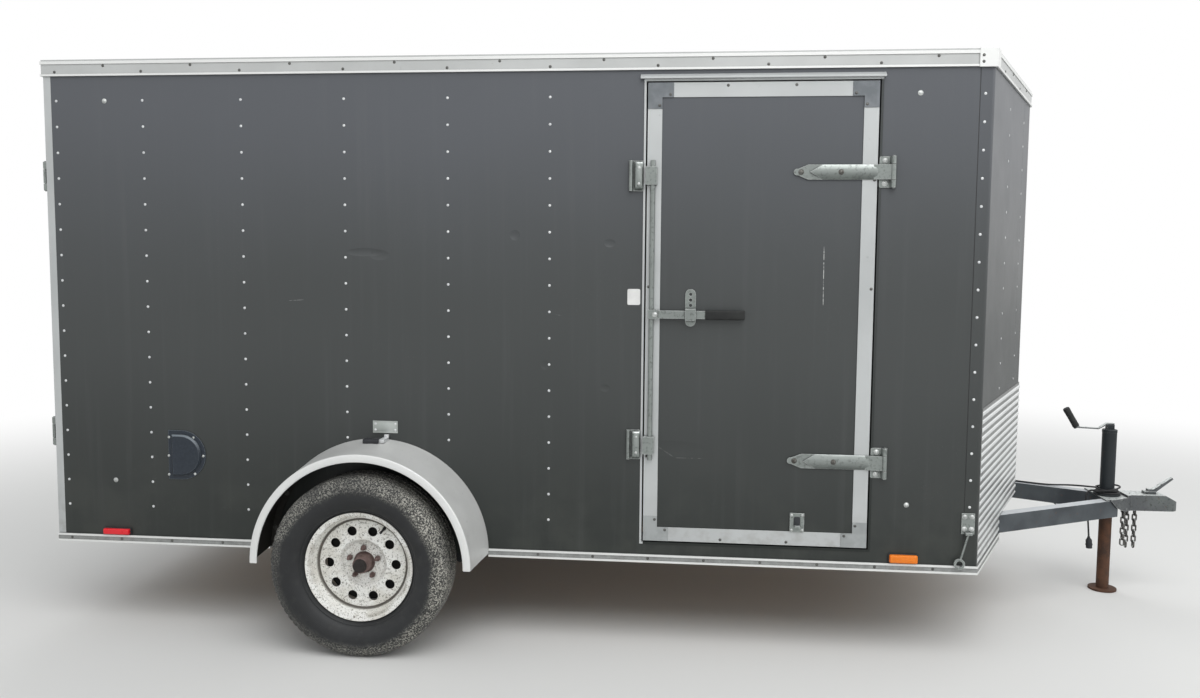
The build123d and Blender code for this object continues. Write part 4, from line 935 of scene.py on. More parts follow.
# wheels
tyre = {
    "steps": 288, "lugStep": 4, "lugDepth": 0.0034, "grooveDepth": 0.0065,
    # radius and half width, from the bead to the crown
    "profile": ((0.1905, 0.0615), (0.2100, 0.0620), (0.2120, 0.0680), (0.2200, 0.0790),
                (0.2240, 0.0795), (0.2260, 0.0830), (0.2380, 0.0920), (0.2520, 0.0985),
                (0.2650, 0.1018), (0.2790, 0.1022), (0.2900, 0.1012), (0.2925, 0.1020),
                (0.2950, 0.1005), (0.3060, 0.0972), (0.3170, 0.0920), (0.3250, 0.0875),
                (0.3315, 0.0835), (0.3365, 0.0780), (0.3400, 0.0710), (0.3415, 0.0640)),
    "grooves": ((0.3425, 0.0500), (0.3440, 0.0175)),    # crown radius, middle of a groove
    "grooveHalf": 0.0038, "grooveLip": 0.001, "grooveEase": 0.0008,
    "lugFrom": 0.060, "lugTo": 0.0900, "lugAbove": 0.32,
}


def tyrePiece(side):
    wide = tyre["grooveHalf"]
    deep = tyre["grooveDepth"]
    lip = tyre["grooveLip"]
    ease = tyre["grooveEase"]
    outer = list(tyre["profile"])
    for radius, middle in tyre["grooves"]:
        outer += [(radius, middle + wide + lip), (radius - ease, middle + wide),
                  (radius - deep, middle + wide * 0.6), (radius - deep, middle - wide * 0.6),
                  (radius - ease, middle - wide), (radius, middle - wide - lip)]
    inner = [(radius, -across) for radius, across in reversed(outer)]

    def lugs(radius, across, i):
        # notches across both shoulders, offset from one another
        turn = (i + (tyre["lugStep"] // 2 if across < 0 else 0)) % tyre["lugStep"]
        shoulder = tyre["lugFrom"] < abs(across) < tyre["lugTo"] and radius > tyre["lugAbove"]
        return radius - tyre["lugDepth"] if turn == 0 and shoulder else radius

    bm = bmesh.new()
    lathe(bm, outer + inner, atWheel(side, (1, 0, 0)), tyre["steps"], closed=True, shape=lugs)
    label = sideName(side)
    keep(f"roadTyre.{label}", outward(bm), "tyre", f"wheel_{label}", "tyre", (f"tyre_{label}",), 28)


rim = {
    "steps": 160, "holes": 10, "holeRing": 0.130, "holeRadius": 0.0185, "lugs": 5,
    "lugRing": 0.05715, "lugHole": 0.0072, "drillFrom": -0.02, "drillTo": 0.05,
    "holeEase": 0.0008,
    "barrel": ((0.2080, 0.0690), (0.2070, 0.0698), (0.2045, 0.0695), (0.1990, 0.0660),
               (0.1940, 0.0650), (0.1900, 0.0640), (0.1870, 0.0580), (0.1855, 0.0480),
               (0.1830, 0.0400), (0.1790, 0.0340), (0.1765, 0.0260), (0.1755, 0.0120),
               (0.1765, -0.0160), (0.1840, -0.0300), (0.1860, -0.0640), (0.1990, -0.0660),
               (0.2045, -0.0695), (0.2080, -0.0690), (0.2080, -0.0630), (0.1900, -0.0625),
               (0.1880, -0.0300), (0.1800, -0.0170), (0.1800, 0.0120), (0.1800, 0.0250),
               (0.1850, 0.0360), (0.1895, 0.0480), (0.1900, 0.0625), (0.2080, 0.0630)),
    "disc": ((0.1770, 0.0170), (0.1755, 0.0190), (0.1725, 0.0170), (0.1700, 0.0172),
             (0.1670, 0.0205), (0.1600, 0.0220), (0.1050, 0.0220), (0.0990, 0.0236),
             (0.0945, 0.0236), (0.0900, 0.0205), (0.0830, 0.0080), (0.0800, 0.0040),
             (0.0770, 0.0030), (0.0425, 0.0030), (0.0412, 0.0020), (0.0412, -0.0018),
             (0.0820, -0.0018), (0.0960, 0.0172), (0.1560, 0.0172), (0.1770, 0.0120)),
}
# stem from foot to tip, each as distance from the axle and out; turn in degrees
valve = {"turn": -32, "foot": (0.163, 0.021), "tip": (0.152, 0.052),
         "profile": ((0, -0.004), (0.0062, -0.002), (0.0056, 0.008), (0.0042, 0.012),
                     (0.0038, 0.024), (0.0048, 0.0245), (0.0048, 0.033), (0.0030, 0.0345),
                     (0, 0.0345))}


def drilledDisc(place):
    # the disc with its hand holes and lug holes cut through
    disc = bmesh.new()
    lathe(disc, rim["disc"], place, rim["steps"], closed=True)
    drill = bmesh.new()
    for ring, count, radius, start in (
            (rim["holeRing"], rim["holes"], rim["holeRadius"], 180 / rim["holes"]),
            (rim["lugRing"], rim["lugs"], rim["lugHole"], 0)):
        low = rim["drillFrom"]
        high = rim["drillTo"]
        for i in range(count):
            spot = around(place, ring, radians(start + 360 / count * i))
            lathe(drill, ((0, low), (radius, low), (radius, high), (0, high)), spot, 28)
    solid, tool = (addObject(name, toMesh(name, outward(bm)))
                   for name, bm in (("disc", disc), ("drill", drill)))
    cut = solid.modifiers.new("cut", "BOOLEAN")
    cut.operation = "DIFFERENCE"
    cut.solver = "EXACT"
    cut.object = tool
    result = bpy.data.meshes.new_from_object(
        solid.evaluated_get(bpy.context.evaluated_depsgraph_get()))
    bpy.data.objects.remove(solid)
    bpy.data.objects.remove(tool)
    return result


def rimPiece(side):
    label = sideName(side)
    place = atWheel(side, (0, 0, 1))
    bm = bmesh.new()
    bm.from_mesh(drilledDisc(place))
    edges = [edge for edge in bm.edges if edge.is_manifold and edge.calc_face_angle(0) > 1.2]
    bmesh.ops.bevel(bm, geom=edges, offset=rim["holeEase"], segments=2, profile=0.5,
                    affect="EDGES", clamp_overlap=True)
    barrel = bmesh.new()
    lathe(barrel, rim["barrel"], place, rim["steps"], closed=True)
    bm.from_mesh(toMesh("barrel", outward(barrel)))
    bmesh.ops.recalc_face_normals(bm, faces=bm.faces)
    keep(f"steelWheel.{label}", bm, "wheel", f"wheel_{label}", "wheel_paint", (f"rim_{label}",), 30)

    turn = radians(valve["turn"])
    foot, tip = (place @ Vector((radius * cos(turn), radius * sin(turn), out))
                 for radius, out in (valve["foot"], valve["tip"]))
    lathePiece(f"valveStem.{label}", valve["profile"], turned(foot, tip - foot), 16, "cable",
               f"wheel_{label}", "cable")


hub = {
    # radius and distance out from the middle of the wheel
    "boss": ((0.0193, -0.060), (0.034, -0.060), (0.040, -0.014), (0.074, -0.014),
             (0.075, -0.012), (0.075, -0.003), (0.074, -0.002), (0.0345, -0.002),
             (0.033, 0.000), (0.033, 0.030), (0.0315, 0.034), (0.0318, 0.046),
             (0.0300, 0.050), (0.0262, 0.0515), (0.0250, 0.0520), (0.0193, 0.0520)),
    "nut": ((0, 0.0022), (0.008268, 0.0022), (0.0106, 0.0060), (0.0106, 0.0150),
            (0.009116, 0.0170), (0, 0.0170)),
    "nutTurn": 1.7,                                     # each nut is left at its own angle
    "stud": ((0, -0.004), (0.0060, -0.004), (0.0060, 0.028), (0.0048, 0.0295), (0, 0.0295)),
    "cap": ((0, 0.0490), (0.0255, 0.0490), (0.0262, 0.0525), (0.0252, 0.0540),
            (0.0238, 0.0545), (0.0236, 0.0630), (0.0222, 0.0670), (0.0180, 0.0688),
            (0.0120, 0.0680), (0, 0.0672)),
    # dark drum behind the hand holes, a painted shade that darkens them
    "drum": ((0.0500, -0.0200), (0.0780, -0.0160), (0.0840, -0.0060), (0.1460, -0.0060),
             (0.1500, -0.0100), (0.1500, -0.0550), (0.0500, -0.0550)),
}


def hubPiece(side):
    label = sideName(side)
    body = f"wheel_{label}"
    place = atWheel(side, (0, 0, 1))
    bm = bmesh.new()
    lathe(bm, hub["boss"], place, 48, closed=True)
    for i in range(rim["lugs"]):
        spot = around(place, rim["lugRing"], 2 * pi * i / rim["lugs"])
        lathe(bm, hub["nut"], spot @ Matrix.Rotation(i * hub["nutTurn"], 4, "Z"), 6)
        lathe(bm, hub["stud"], spot, 20)
    keep(f"wheelHub.{label}", outward(bm), "hub", body, "hub_steel", (f"hub_{label}",))
    lathePiece(f"greaseCap.{label}", hub["cap"], place, 40, "hubCap", body, "hub_steel")
    # dark drum as painted shade behind the hand holes
    lathePiece(f"holeShadeDrum.{label}", hub["drum"], place, 64, "drum", body, "hub_steel", closed=True)


for side in (-1, 1):
    tyrePiece(side)
    rimPiece(side)
    hubPiece(side)
print("wheels made")


# geometry nodes: what repeats grows on points that carry its direction
class Tree:
    # one node tree with named inputs, ending in real mesh with its finish set
    def __init__(self, name, inputs):
        self.group = bpy.data.node_groups.new(name, "GeometryNodeTree")
        sockets = self.group.interface
        for way in ("INPUT", "OUTPUT"):
            sockets.new_socket("Geometry", in_out=way, socket_type="NodeSocketGeometry")
        for label, value in inputs.items():
            given = sockets.new_socket(label, in_out="INPUT", socket_type="NodeSocketFloat")
            given.default_value = value
        sockets.new_socket("Material", in_out="INPUT", socket_type="NodeSocketMaterial")
        self.given = self.group.nodes.new("NodeGroupInput").outputs

    def node(self, kind, settings, values, output=0):
        made = self.group.nodes.new(kind)
        for setting, value in settings.items():
            setattr(made, setting, value)
        for socket, value in values.items():
            if isinstance(value, bpy.types.NodeSocket):
                self.group.links.new(value, made.inputs[socket])
            else:
                made.inputs[socket].default_value = value
        return made.outputs[output]

    def attribute(self, label):
        return self.node("GeometryNodeInputNamedAttribute", {"data_type": "FLOAT_VECTOR"},
                         {"Name": label})

    def end(self, geometry):
        real = self.node("GeometryNodeRealizeInstances", {}, {0: geometry})
        painted = self.node("GeometryNodeSetMaterial", {},
                            {"Geometry": real, "Material": self.given["Material"]})
        self.group.links.new(painted, self.group.nodes.new("NodeGroupOutput").inputs[0])

    def grow(self, name, spots, label, inputs, finish):
        # spots are pairs of a place and the vector kept as the attribute
        mesh = bpy.data.meshes.new(name)
        mesh.from_pydata([place for place, vector in spots], [], [])
        layer = mesh.attributes.new(label, "FLOAT_VECTOR", "POINT")
        for item, (place, vector) in zip(layer.data, spots):
            item.vector = vector
        holder = addObject(name, mesh)
        change = holder.modifiers.new(name, "NODES")
        change.node_group = self.group
        values = {**inputs, "Material": finishes[finish].material}
        for socket in self.group.interface.items_tree:
            if socket.in_out == "INPUT" and socket.name in values:
                change[socket.identifier] = values[socket.name]
        whole = holder.evaluated_get(bpy.context.evaluated_depsgraph_get())
        result = bpy.data.meshes.new_from_object(whole)
        bpy.data.objects.remove(holder)
        return result


# head radius and height, washer radius and height
fastenerSizes = {
    "rivet": (0.0034, 0.0022, 0.0052, 0.0016),
    "screw": (0.0046, 0.0026, 0.0056, 0.0012),
    "flush": (0.0040, 0.0003, 0.0048, 0.0004),
    "bolt": (0.0088, 0.0050, 0.0104, 0.0018),
    "round": (0.0085, 0.0055, 0.0100, 0.0016),
}


def fastenerInputs(size):
    labels = ("Head Radius", "Head Height", "Washer Radius", "Washer Height")
    return dict(zip(labels, fastenerSizes[size]))


def fastenerTree():
    # a domed head on a thin washer, stood on each point
    tree = Tree("fasteners", fastenerInputs("rivet"))
    ball = tree.node("GeometryNodeMeshUVSphere", {}, {"Segments": 10, "Rings": 5, "Radius": 1.0},
                     "Mesh")
    size = tree.node("ShaderNodeCombineXYZ", {}, {0: tree.given["Head Radius"],
                     1: tree.given["Head Radius"], 2: tree.given["Head Height"]})
    head = tree.node("GeometryNodeTransform", {}, {"Geometry": ball, "Scale": size})
    washer = tree.node("GeometryNodeMeshCylinder", {}, {"Vertices": 12,
                       "Radius": tree.given["Washer Radius"],
                       "Depth": tree.given["Washer Height"]}, "Mesh")
    both = tree.node("GeometryNodeJoinGeometry", {}, {0: head})
    tree.group.links.new(washer, both.node.inputs[0])
    turn = tree.node("FunctionNodeAlignRotationToVector", {"axis": "Z"},
                     {"Vector": tree.attribute("facing")})
    stood = tree.node("GeometryNodeInstanceOnPoints", {}, {"Points": tree.given["Geometry"],
                      "Instance": both, "Rotation": turn})
    tree.end(stood)
    return tree


fastenerNodes = fastenerTree()


def fasten(name, spots, size, finish, body="chassis", slot="trim_aluminium"):
    mesh = fastenerNodes.grow(name, spots, "facing", fastenerInputs(size), finish)
    keep(name, mesh, finish, body, slot, sharp=45)


# places on the outside, each with the direction that it faces
def wallSpot(x, z, out=0.0, side=-1):
    return Vector((x, side * (half + out), z)), Vector((0, side, 0))


def facetSpot(along, z, out=0.0, side=-1):
    x = trailer["corner"] + along * facetAlong.x + out * facetOut.x
    y = half - along * facetAlong.y - out * facetOut.y
    return Vector((x, side * y, z)), Vector((facetOut.x, -side * facetOut.y, 0))


def rearSpot(y, z, out=0.0):
    return Vector((rear - out, y, z)), Vector((-1, 0, 0))


riveting = {
    # columns ahead of the rear face, in mm; the far wall has no door between them
    "columns": (52, 412, 815, 1230, 1639, 2035, 3627), "farColumns": (2441, 2848, 3254),
    "rows": 17, "top": 2.112, "pitch": 0.1016, "clearOfFender": 0.461,
    "facetColumns": (0.406, 0.813), "facetFoot": 0.98,
    # plate of the hold-back: x and z, where no rivet shows
    "holdBack": (1.2115, 1.2595, 0.486, 0.565), "holdBackClear": 0.01,
}


def skinRivets():
    heights = [riveting["top"] - riveting["pitch"] * row for row in range(riveting["rows"])]
    x0, x1, z0, z1 = riveting["holdBack"]
    clear = riveting["holdBackClear"]
    for side in (-1, 1):
        spots = []
        for column in riveting["columns"] + (riveting["farColumns"] if side > 0 else ()):
            x = rear + column / 1000
            for z in heights:
                behind = x0 - clear < x < x1 + clear and z0 - clear < z < z1 + clear
                away = hypot(x - trailer["axleX"], z - trailer["wheelZ"])
                if away > riveting["clearOfFender"] and not (side < 0 and behind):
                    spots.append(wallSpot(x, z, 0.0, side))
        spots += [facetSpot(along, z, 0.0, side) for along in riveting["facetColumns"]
                  for z in heights if z > riveting["facetFoot"]]
        fasten(f"skinRivets.{sideName(side)}", spots, "rivet", "rivet", slot="skin")


trimming = {
    # top trim: two rows, the upper one shifted along
    "upper": 2.247, "lower": 2.224, "out": 0.005, "upperShift": 0.2032, "facetPitch": 0.202,
    "facetCount": 4, "rearPitch": 0.405, "capReach": 0.044, "capOut": 0.010,
    # bottom trim and rear frame
    "bottom": 0.348, "bottomStart": 0.06, "bottomPitch": 0.215, "fenderGap": 0.462,
    "frameInset": 0.022, "frameFoot": 0.52, "framePitch": 0.305, "frameCount": 6,
    # flange on the roof
    "flangeInset": 0.022, "flangeTop": 2.2714, "flangeStart": 0.08, "flangePitch": 0.2032,
    "flangeCount": 18, "flangeRearPitch": 0.4,
}


def sideScrews(side):
    trim = trimming
    lower = trim["lower"]
    upper = trim["upper"]
    out = trim["out"]
    # the foremost column has no screw in the trim
    columns = sorted(riveting["columns"] + riveting["farColumns"])[:-1]
    columns = [rear + column / 1000 for column in columns]
    spots = [wallSpot(x, lower, out, side) for x in columns]
    spots += [wallSpot(x + trim["upperShift"], upper, out, side) for x in columns]
    for step in range(1, trim["facetCount"] + 1):
        spots.append(facetSpot(trim["facetPitch"] * step, lower if step % 2 else upper, out, side))
    for z in (lower, upper):
        spots.append(wallSpot(trailer["corner"] - trim["capReach"], z, trim["capOut"], side))
    for step in range(int((trailer["corner"] - rear) / trim["bottomPitch"])):
        x = rear + trim["bottomStart"] + trim["bottomPitch"] * step
        if abs(x - trailer["axleX"]) > trim["fenderGap"]:
            spots.append(wallSpot(x, trim["bottom"], out, side))
    for step in range(trim["frameCount"]):
        z = trim["frameFoot"] + trim["framePitch"] * step
        spots.append(rearSpot(side * (half - trim["frameInset"]), z))
    return spots


def trimScrews():
    trim = trimming
    spots = sideScrews(-1) + sideScrews(1)
    for step in range(-2, 3):
        spots.append(rearSpot(trim["rearPitch"] * step, trim["lower"], trim["out"]))
    for step in range(-2, 2):
        spots.append(rearSpot(trim["rearPitch"] * (step + 0.5), trim["upper"], trim["out"]))
    fasten("trimScrews", spots, "screw", "screw")
    places = [(rear + trim["flangeStart"] + trim["flangePitch"] * step,
               side * (half - trim["flangeInset"]))
              for side in (-1, 1) for step in range(trim["flangeCount"])]
    places += [(rear + trim["flangeInset"], trim["flangeRearPitch"] * step)
               for step in range(-2, 3)]
    spots = [(Vector((x, y, trim["flangeTop"])), Vector((0, 0, 1))) for x, y in places]
    fasten("roofScrews", spots, "flush", "screw")


# doors: origin at the hinge edge of the leaf, back towards its free edge, out from its face
sideLow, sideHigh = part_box("side_door")
rearLow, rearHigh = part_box("rear_door_left")
rearDoor = {"edge": rearHigh.y, "low": rearLow.z, "high": rearHigh.z,
            "wide": rearHigh.y - rearLow.y, "hinges": (1.818, 0.784), "rod": 0.780,
            "cap": 0.0009, "guide": 0.0228}
doors = {
    "side_door": {"edge": sideHigh.x, "low": sideLow.z, "high": sideHigh.z,
                  "wide": sideHigh.x - sideLow.x, "hinges": (1.830, 0.747), "rod": 0.825,
                  "cap": 0.0020, "guide": 0.027},
    "rear_door_right": rearDoor,
    "rear_door_left": rearDoor,
}
lock = {
    "z": 1.296, "out": 0.0180, "grip": 0.204,
    "boltBack": -0.014,                                 # bolt on the guide, beside the rod
    # black sleeve: distance along the grip, half width, half height and corner
    "sleeve": ((0.0, 0.0072, 0.0172, 0.0055), (0.0015, 0.0080, 0.0180, 0.0065),
               (0.1323, 0.0080, 0.0180, 0.0065), (0.145, 0.0076, 0.0174, 0.0060),
               (0.147, 0.0060, 0.0158, 0.0050)),
}
hinging = {
    "strap": ((0.132, 0.0115), (0.277, 0.0060)),        # back from the edge, out
    "bracketBack": -0.026, "bracketRise": 0.042, "bracketOut": 0.005,
}
edging = {
    "capLong": 0.096, "capWide": 0.054, "capFoot": 0.0028, "out": 0.003,
    "capScrewEnd": 0.012, "capScrewEdge": 0.010,        # in from the end and edge of a cap
    # screws of the flat trim: up its sides, and along its head and foot
    "inset": 0.010, "aboveFoot": 0.33, "aboveMiddle": 0.11, "belowHead": 0.36,
    "along": (0.30, 0.55), "endInset": 0.012,
}


def doorPlace(name, back, z, out=0.0):
    door = doors[name]
    if name == "side_door":
        return wallSpot(door["edge"] - back, z, out)
    side = -1 if name.endswith("right") else 1
    return rearSpot(side * (door["edge"] - back), z, out)


def doorBolts(name):
    # strap and lock bolts ride on the leaf, bracket bolts on the box
    door = doors[name]
    onLeaf = [doorPlace(name, back, z, out) for z in door["hinges"]
              for back, out in hinging["strap"]]
    fasten(f"strapBolts.{name}", onLeaf, "bolt", "strapBolt", name, "zinc")
    rise = hinging["bracketRise"]
    onBox = [doorPlace(name, hinging["bracketBack"], z + up, hinging["bracketOut"])
             for z in door["hinges"] for up in (-rise, rise)]
    fasten(f"bracketBolts.{name}", onBox, "bolt", "boltHead", "chassis", "zinc")
    beside = [doorPlace(name, door["rod"] + lock["boltBack"], lock["z"], door["guide"])]
    fasten(f"lockBolt.{name}", beside, "bolt", "boltHead", name, "zinc")


def doorEdging(name):
    # L shaped caps over the corners of the flat trim, and the screws of both
    door = doors[name]
    long = edging["capLong"]
    wide = edging["capWide"]
    end = long - edging["capScrewEnd"]
    edge = wide - edging["capScrewEdge"]
    out = edging["out"] + door["cap"]
    outline = ((0, 0), (long, 0), (long, wide), (wide, wide), (wide, long), (0, long))
    middle, facing = doorPlace(name, 0.0, 0.0)
    place = turned(middle, facing, doorPlace(name, 1.0, 0.0)[0] - middle)
    upright = 1 if place.to_3x3().col[1].z > 0 else -1
    screws = []
    for level, way in (("low", 1), ("high", -1)):
        bm = bmesh.new()
        z = door[level]
        for start, across in ((0.0, 1), (door["wide"], -1)):
            corners = [(start + across * x, upright * (z + way * y)) for x, y in outline]
            prism(bm, corners, edging["capFoot"], out, place)
            screws += [doorPlace(name, start + across * x, z + way * y, out)
                       for x, y in ((end, edge), (edge, end))]
        # upper caps take the darker copy as painted shade, lower caps the lighter copy as painted
        # light
        keep(f"doorCaps.{name}.{level}", outward(bm), "cap" if level == "high" else "capLit",
             name, "trim_aluminium")
    low = door["low"]
    high = door["high"]
    inset = edging["inset"]
    heights = (low + edging["aboveFoot"], (low + high) / 2 + edging["aboveMiddle"],
               high - edging["belowHead"])
    places = [(back, z) for z in heights for back in (inset, door["wide"] - inset)]
    places += [(back, z) for back in edging["along"]
               for z in (low + edging["endInset"], high - edging["endInset"])]
    screws += [doorPlace(name, back, z, edging["out"]) for back, z in places]
    fasten(f"doorScrews.{name}", screws, "screw", "screw", name, "zinc")


def lockSleeve(name):
    # on the lock's grip, which points towards the hinges
    grip = doors[name]["rod"] - lock["grip"]
    start, facing = doorPlace(name, grip, lock["z"], lock["out"])
    ahead = doorPlace(name, grip - 0.1, lock["z"], lock["out"])[0] - start
    bm = bmesh.new()
    loft(bm, lock["sleeve"], turned(start, ahead, facing))
    keep(f"lockSleeve.{name}", outward(bm), "grip", name, "zinc")


# small fixed hardware on the walls, each place an x and a z
fixings = {
    "bolts": ((-2.1335, 2.111), (-2.1335, 0.591), (1.0105, 2.116), (1.0085, 0.589)),
    "vents": ((-1.9005, 0.774), (-1.9025, 0.698), (-1.9035, 0.621), (-1.7965, 0.774),
              (-1.7575, 0.700), (-1.7935, 0.626)),
    "ventOut": 0.003,
    # in from the sides, foot and top of the hold-back's plate
    "holdBackSide": 0.011, "holdBackFoot": 0.020, "holdBackTop": 0.013, "holdBackOut": 0.004,
}
# half width and half height; sections are distance out, drawn in by, and corner
keeper = {"x": -0.0125, "rows": (1.816, 0.794), "boltRise": 0.030, "boltOut": 0.020,
          "wide": 0.0155, "tall": 0.052,
          "sections": ((0.004, 0.0, 0.006), (0.014, 0.0, 0.006), (0.018, 0.0025, 0.006),
                       (0.020, 0.007, 0.005))}
catch = {"x": 0.6035, "z": 0.5145, "wide": 0.0115, "tall": 0.0165,
         "sections": ((0.0068, 0.0, 0.005), (0.0100, 0.0, 0.005), (0.0112, 0.001, 0.005)),
         "screwSide": 0.020, "screwRise": 0.029, "screwDrop": 0.0055, "screwOut": 0.007}
sticker = {"x": -0.0280, "z": 1.3605, "wide": 0.0245, "tall": 0.0305,
           "sections": ((0.0, 0.0, 0.006), (0.0006, 0.0, 0.006))}


def wallHardware():
    spots = [wallSpot(x, z, 0.0, side) for x, z in fixings["bolts"] for side in (-1, 1)]
    fasten("wallBolts", spots, "round", "boltHead", slot="zinc")
    spots = [wallSpot(x, z, fixings["ventOut"], side) for x, z in fixings["vents"]
             for side in (-1, 1)]
    fasten("ventRivets", spots, "rivet", "boltHead", slot="vent_plastic")
    rise = keeper["boltRise"]
    spots = [wallSpot(keeper["x"], z + up, keeper["boltOut"]) for z in keeper["rows"]
             for up in (-rise, rise)]
    fasten("keeperBolts", spots, "screw", "boltHead", slot="zinc")
    x0, x1, z0, z1 = riveting["holdBack"]
    inset = fixings["holdBackSide"]
    spots = [wallSpot(x, z, fixings["holdBackOut"]) for x in (x0 + inset, x1 - inset)
             for z in (z0 + fixings["holdBackFoot"], z1 - fixings["holdBackTop"])]
    fasten("holdBackBolts", spots, "round", "boltHead", slot="zinc")


def keeperHousings():
    # rounded housing over each keeper
    bm = bmesh.new()
    for z in keeper["rows"]:
        wallLoft(bm, keeper, keeper["x"], z)
    keep("keeperHousings", outward(bm), "zinc", "chassis", "zinc")


def doorCatch():
    # dark bail of the catch at the foot of the side door
    bm = bmesh.new()
    wallLoft(bm, catch, catch["x"], catch["z"])
    keep("catchBail", outward(bm), "plastic", "side_door", "zinc")
    side = catch["screwSide"]
    rise = catch["screwRise"]
    middle = catch["z"] - catch["screwDrop"]
    spots = [wallSpot(catch["x"] + dx, middle + dz, catch["screwOut"])
             for dx in (-side, side) for dz in (-rise, rise)]
    fasten("catchScrews", spots, "screw", "boltHead", "side_door", "zinc")


# blank plate with a raised border, blank label, and the clip over the fender
plate = {"low": (-1.0535, 0.813), "high": (-0.9535, 0.861), "border": 0.0035,
         "thick": 0.0012, "screwSide": 0.010, "screwRise": 0.012}
clip = {"low": (-1.0700, 0.7830), "high": (-1.0080, 0.8000), "out": (0.038, 0.080),
        "ease": 0.003}
# low corner, high corner, inner and outer distance from the wall, eased edge
clipTabs = (((-1.0100, 0.7840), (-0.9880, 0.7980), 0.0, 0.068, 0.002),
            ((-1.0060, 0.7900), (-0.9880, 0.8080), 0.0, 0.012, 0.002))


def boxOnWall(bm, low, high, inside, outside, ease=0.0):
    brick(bm, (low[0], -half - outside, low[1]), (high[0], -half - inside, high[1]), ease)


def blankPlate():
    x0, z0 = plate["low"]
    x1, z1 = plate["high"]
    edge = plate["border"]
    thick = plate["thick"]
    bm = bmesh.new()
    boxOnWall(bm, plate["low"], plate["high"], -0.001, thick, thick / 3)
    for low, high in (((x0, z0), (x1, z0 + edge)), ((x0, z1 - edge), (x1, z1)),
                      ((x0, z0 + edge), (x0 + edge, z1 - edge)),
                      ((x1 - edge, z0 + edge), (x1, z1 - edge))):
        boxOnWall(bm, low, high, 0.0, thick * 2)
    keep("blankPlate", outward(bm), "plate", "chassis", "trim_aluminium")
    side = plate["screwSide"]
    rise = plate["screwRise"]
    corners = [wallSpot(x, z, thick) for x in (x0 + side, x1 - side)
               for z in (z0 + rise, z1 - rise)]
    fasten("plateRivets", corners, "rivet", "rivet")


def blankLabel():
    bm = bmesh.new()
    wallLoft(bm, sticker, sticker["x"], sticker["z"])
    keep("blankLabel", outward(bm), "label", "chassis", "trim_aluminium")


def fenderClip():
    bm = bmesh.new()
    boxOnWall(bm, clip["low"], clip["high"], *clip["out"], clip["ease"])
    keep("fenderClip", outward(bm), "plastic", "chassis", "cable")
    bm = bmesh.new()
    for tab in clipTabs:
        boxOnWall(bm, *tab)
    keep("clipTab", outward(bm), "rivet", "chassis", "zinc")


fender = {
    "steps": 120,
    # radius and distance out from the wall: flange, sheet, rolled edge, lip
    "profile": ((0.4180, 0.0), (0.4460, 0.0), (0.4461, 0.0030), (0.4260, 0.2240),
                (0.4266, 0.2272), (0.4262, 0.2312), (0.4240, 0.2340), (0.4205, 0.2350),
                (0.4020, 0.2350), (0.3985, 0.2342), (0.3970, 0.2318), (0.3975, 0.2288),
                (0.3996, 0.2272), (0.4020, 0.2276), (0.4036, 0.2300), (0.4190, 0.2318),
                (0.4222, 0.2300), (0.4228, 0.2262), (0.4430, 0.0032), (0.4180, 0.0030)),
    "boltRing": 0.432, "boltAngles": range(10, 171, 20), "boltOut": 0.003,
}


def makeFenders():
    bm = bmesh.new()
    for side in (-1, 1):
        place = turned((trailer["axleX"], side * half, trailer["wheelZ"]), (0, side, 0),
                       (-side, 0, 0))
        lathe(bm, fender["profile"], place, fender["steps"], turn=pi, closed=True)
    keep("roundFenders", outward(bm), "fender", "chassis", "fender_sheet", ("fenders",), 30)
    spots = []
    for turn in fender["boltAngles"]:
        x = trailer["axleX"] + fender["boltRing"] * cos(radians(turn))
        z = trailer["wheelZ"] + fender["boltRing"] * sin(radians(turn))
        spots += [wallSpot(x, z, fender["boltOut"], side) for side in (-1, 1)]
    fasten("fenderBolts", spots, "bolt", "screw", slot="fender_sheet")


chain = {"wire": 0.007, "wide": 0.024, "inner": 0.025, "corner": 0.0080, "pitch": 0.0252,
         "z": 0.388,
         # x, y and number of links of each run
         "runs": ((2.1725, -0.040, 7), (2.2145, 0.020, 8), (2.2485, 0.020, 8))}


def makeChains():
    # a filleted loop of wire, stood on each point and turned by it
    tree = Tree("chainLinks", {"Wire": chain["wire"] / 2, "Width": chain["wide"] - chain["wire"],
                               "Length": chain["inner"] + chain["wire"], "Corner": chain["corner"]})
    loop = tree.node("GeometryNodeCurvePrimitiveQuadrilateral", {}, {"Width": tree.given["Width"],
                     "Height": tree.given["Length"]})
    soft = tree.node("GeometryNodeFilletCurve", {"mode": "POLY"}, {"Curve": loop,
                     "Radius": tree.given["Corner"], "Count": 5})
    ring = tree.node("GeometryNodeCurvePrimitiveCircle", {}, {"Resolution": 12,
                     "Radius": tree.given["Wire"]})
    wire = tree.node("GeometryNodeCurveToMesh", {}, {"Curve": soft, "Profile Curve": ring})
    upright = tree.node("GeometryNodeTransform", {}, {"Geometry": wire,
                        "Rotation": (pi / 2, 0, 0)})
    hung = tree.node("GeometryNodeInstanceOnPoints", {}, {"Points": tree.given["Geometry"],
                     "Instance": upright, "Rotation": tree.attribute("turn")})
    tree.end(hung)
    spots = [(Vector((x, y, chain["z"] - chain["pitch"] * i)), Vector((0, 0, pi / 2 * (i % 2))))
             for x, y, count in chain["runs"] for i in range(count)]
    links = tree.grow("safetyChains", spots, "turn", {}, "chain")
    keep("safetyChains", links, "chain", "chassis", "chain_steel", ("safety_chains",), 45)


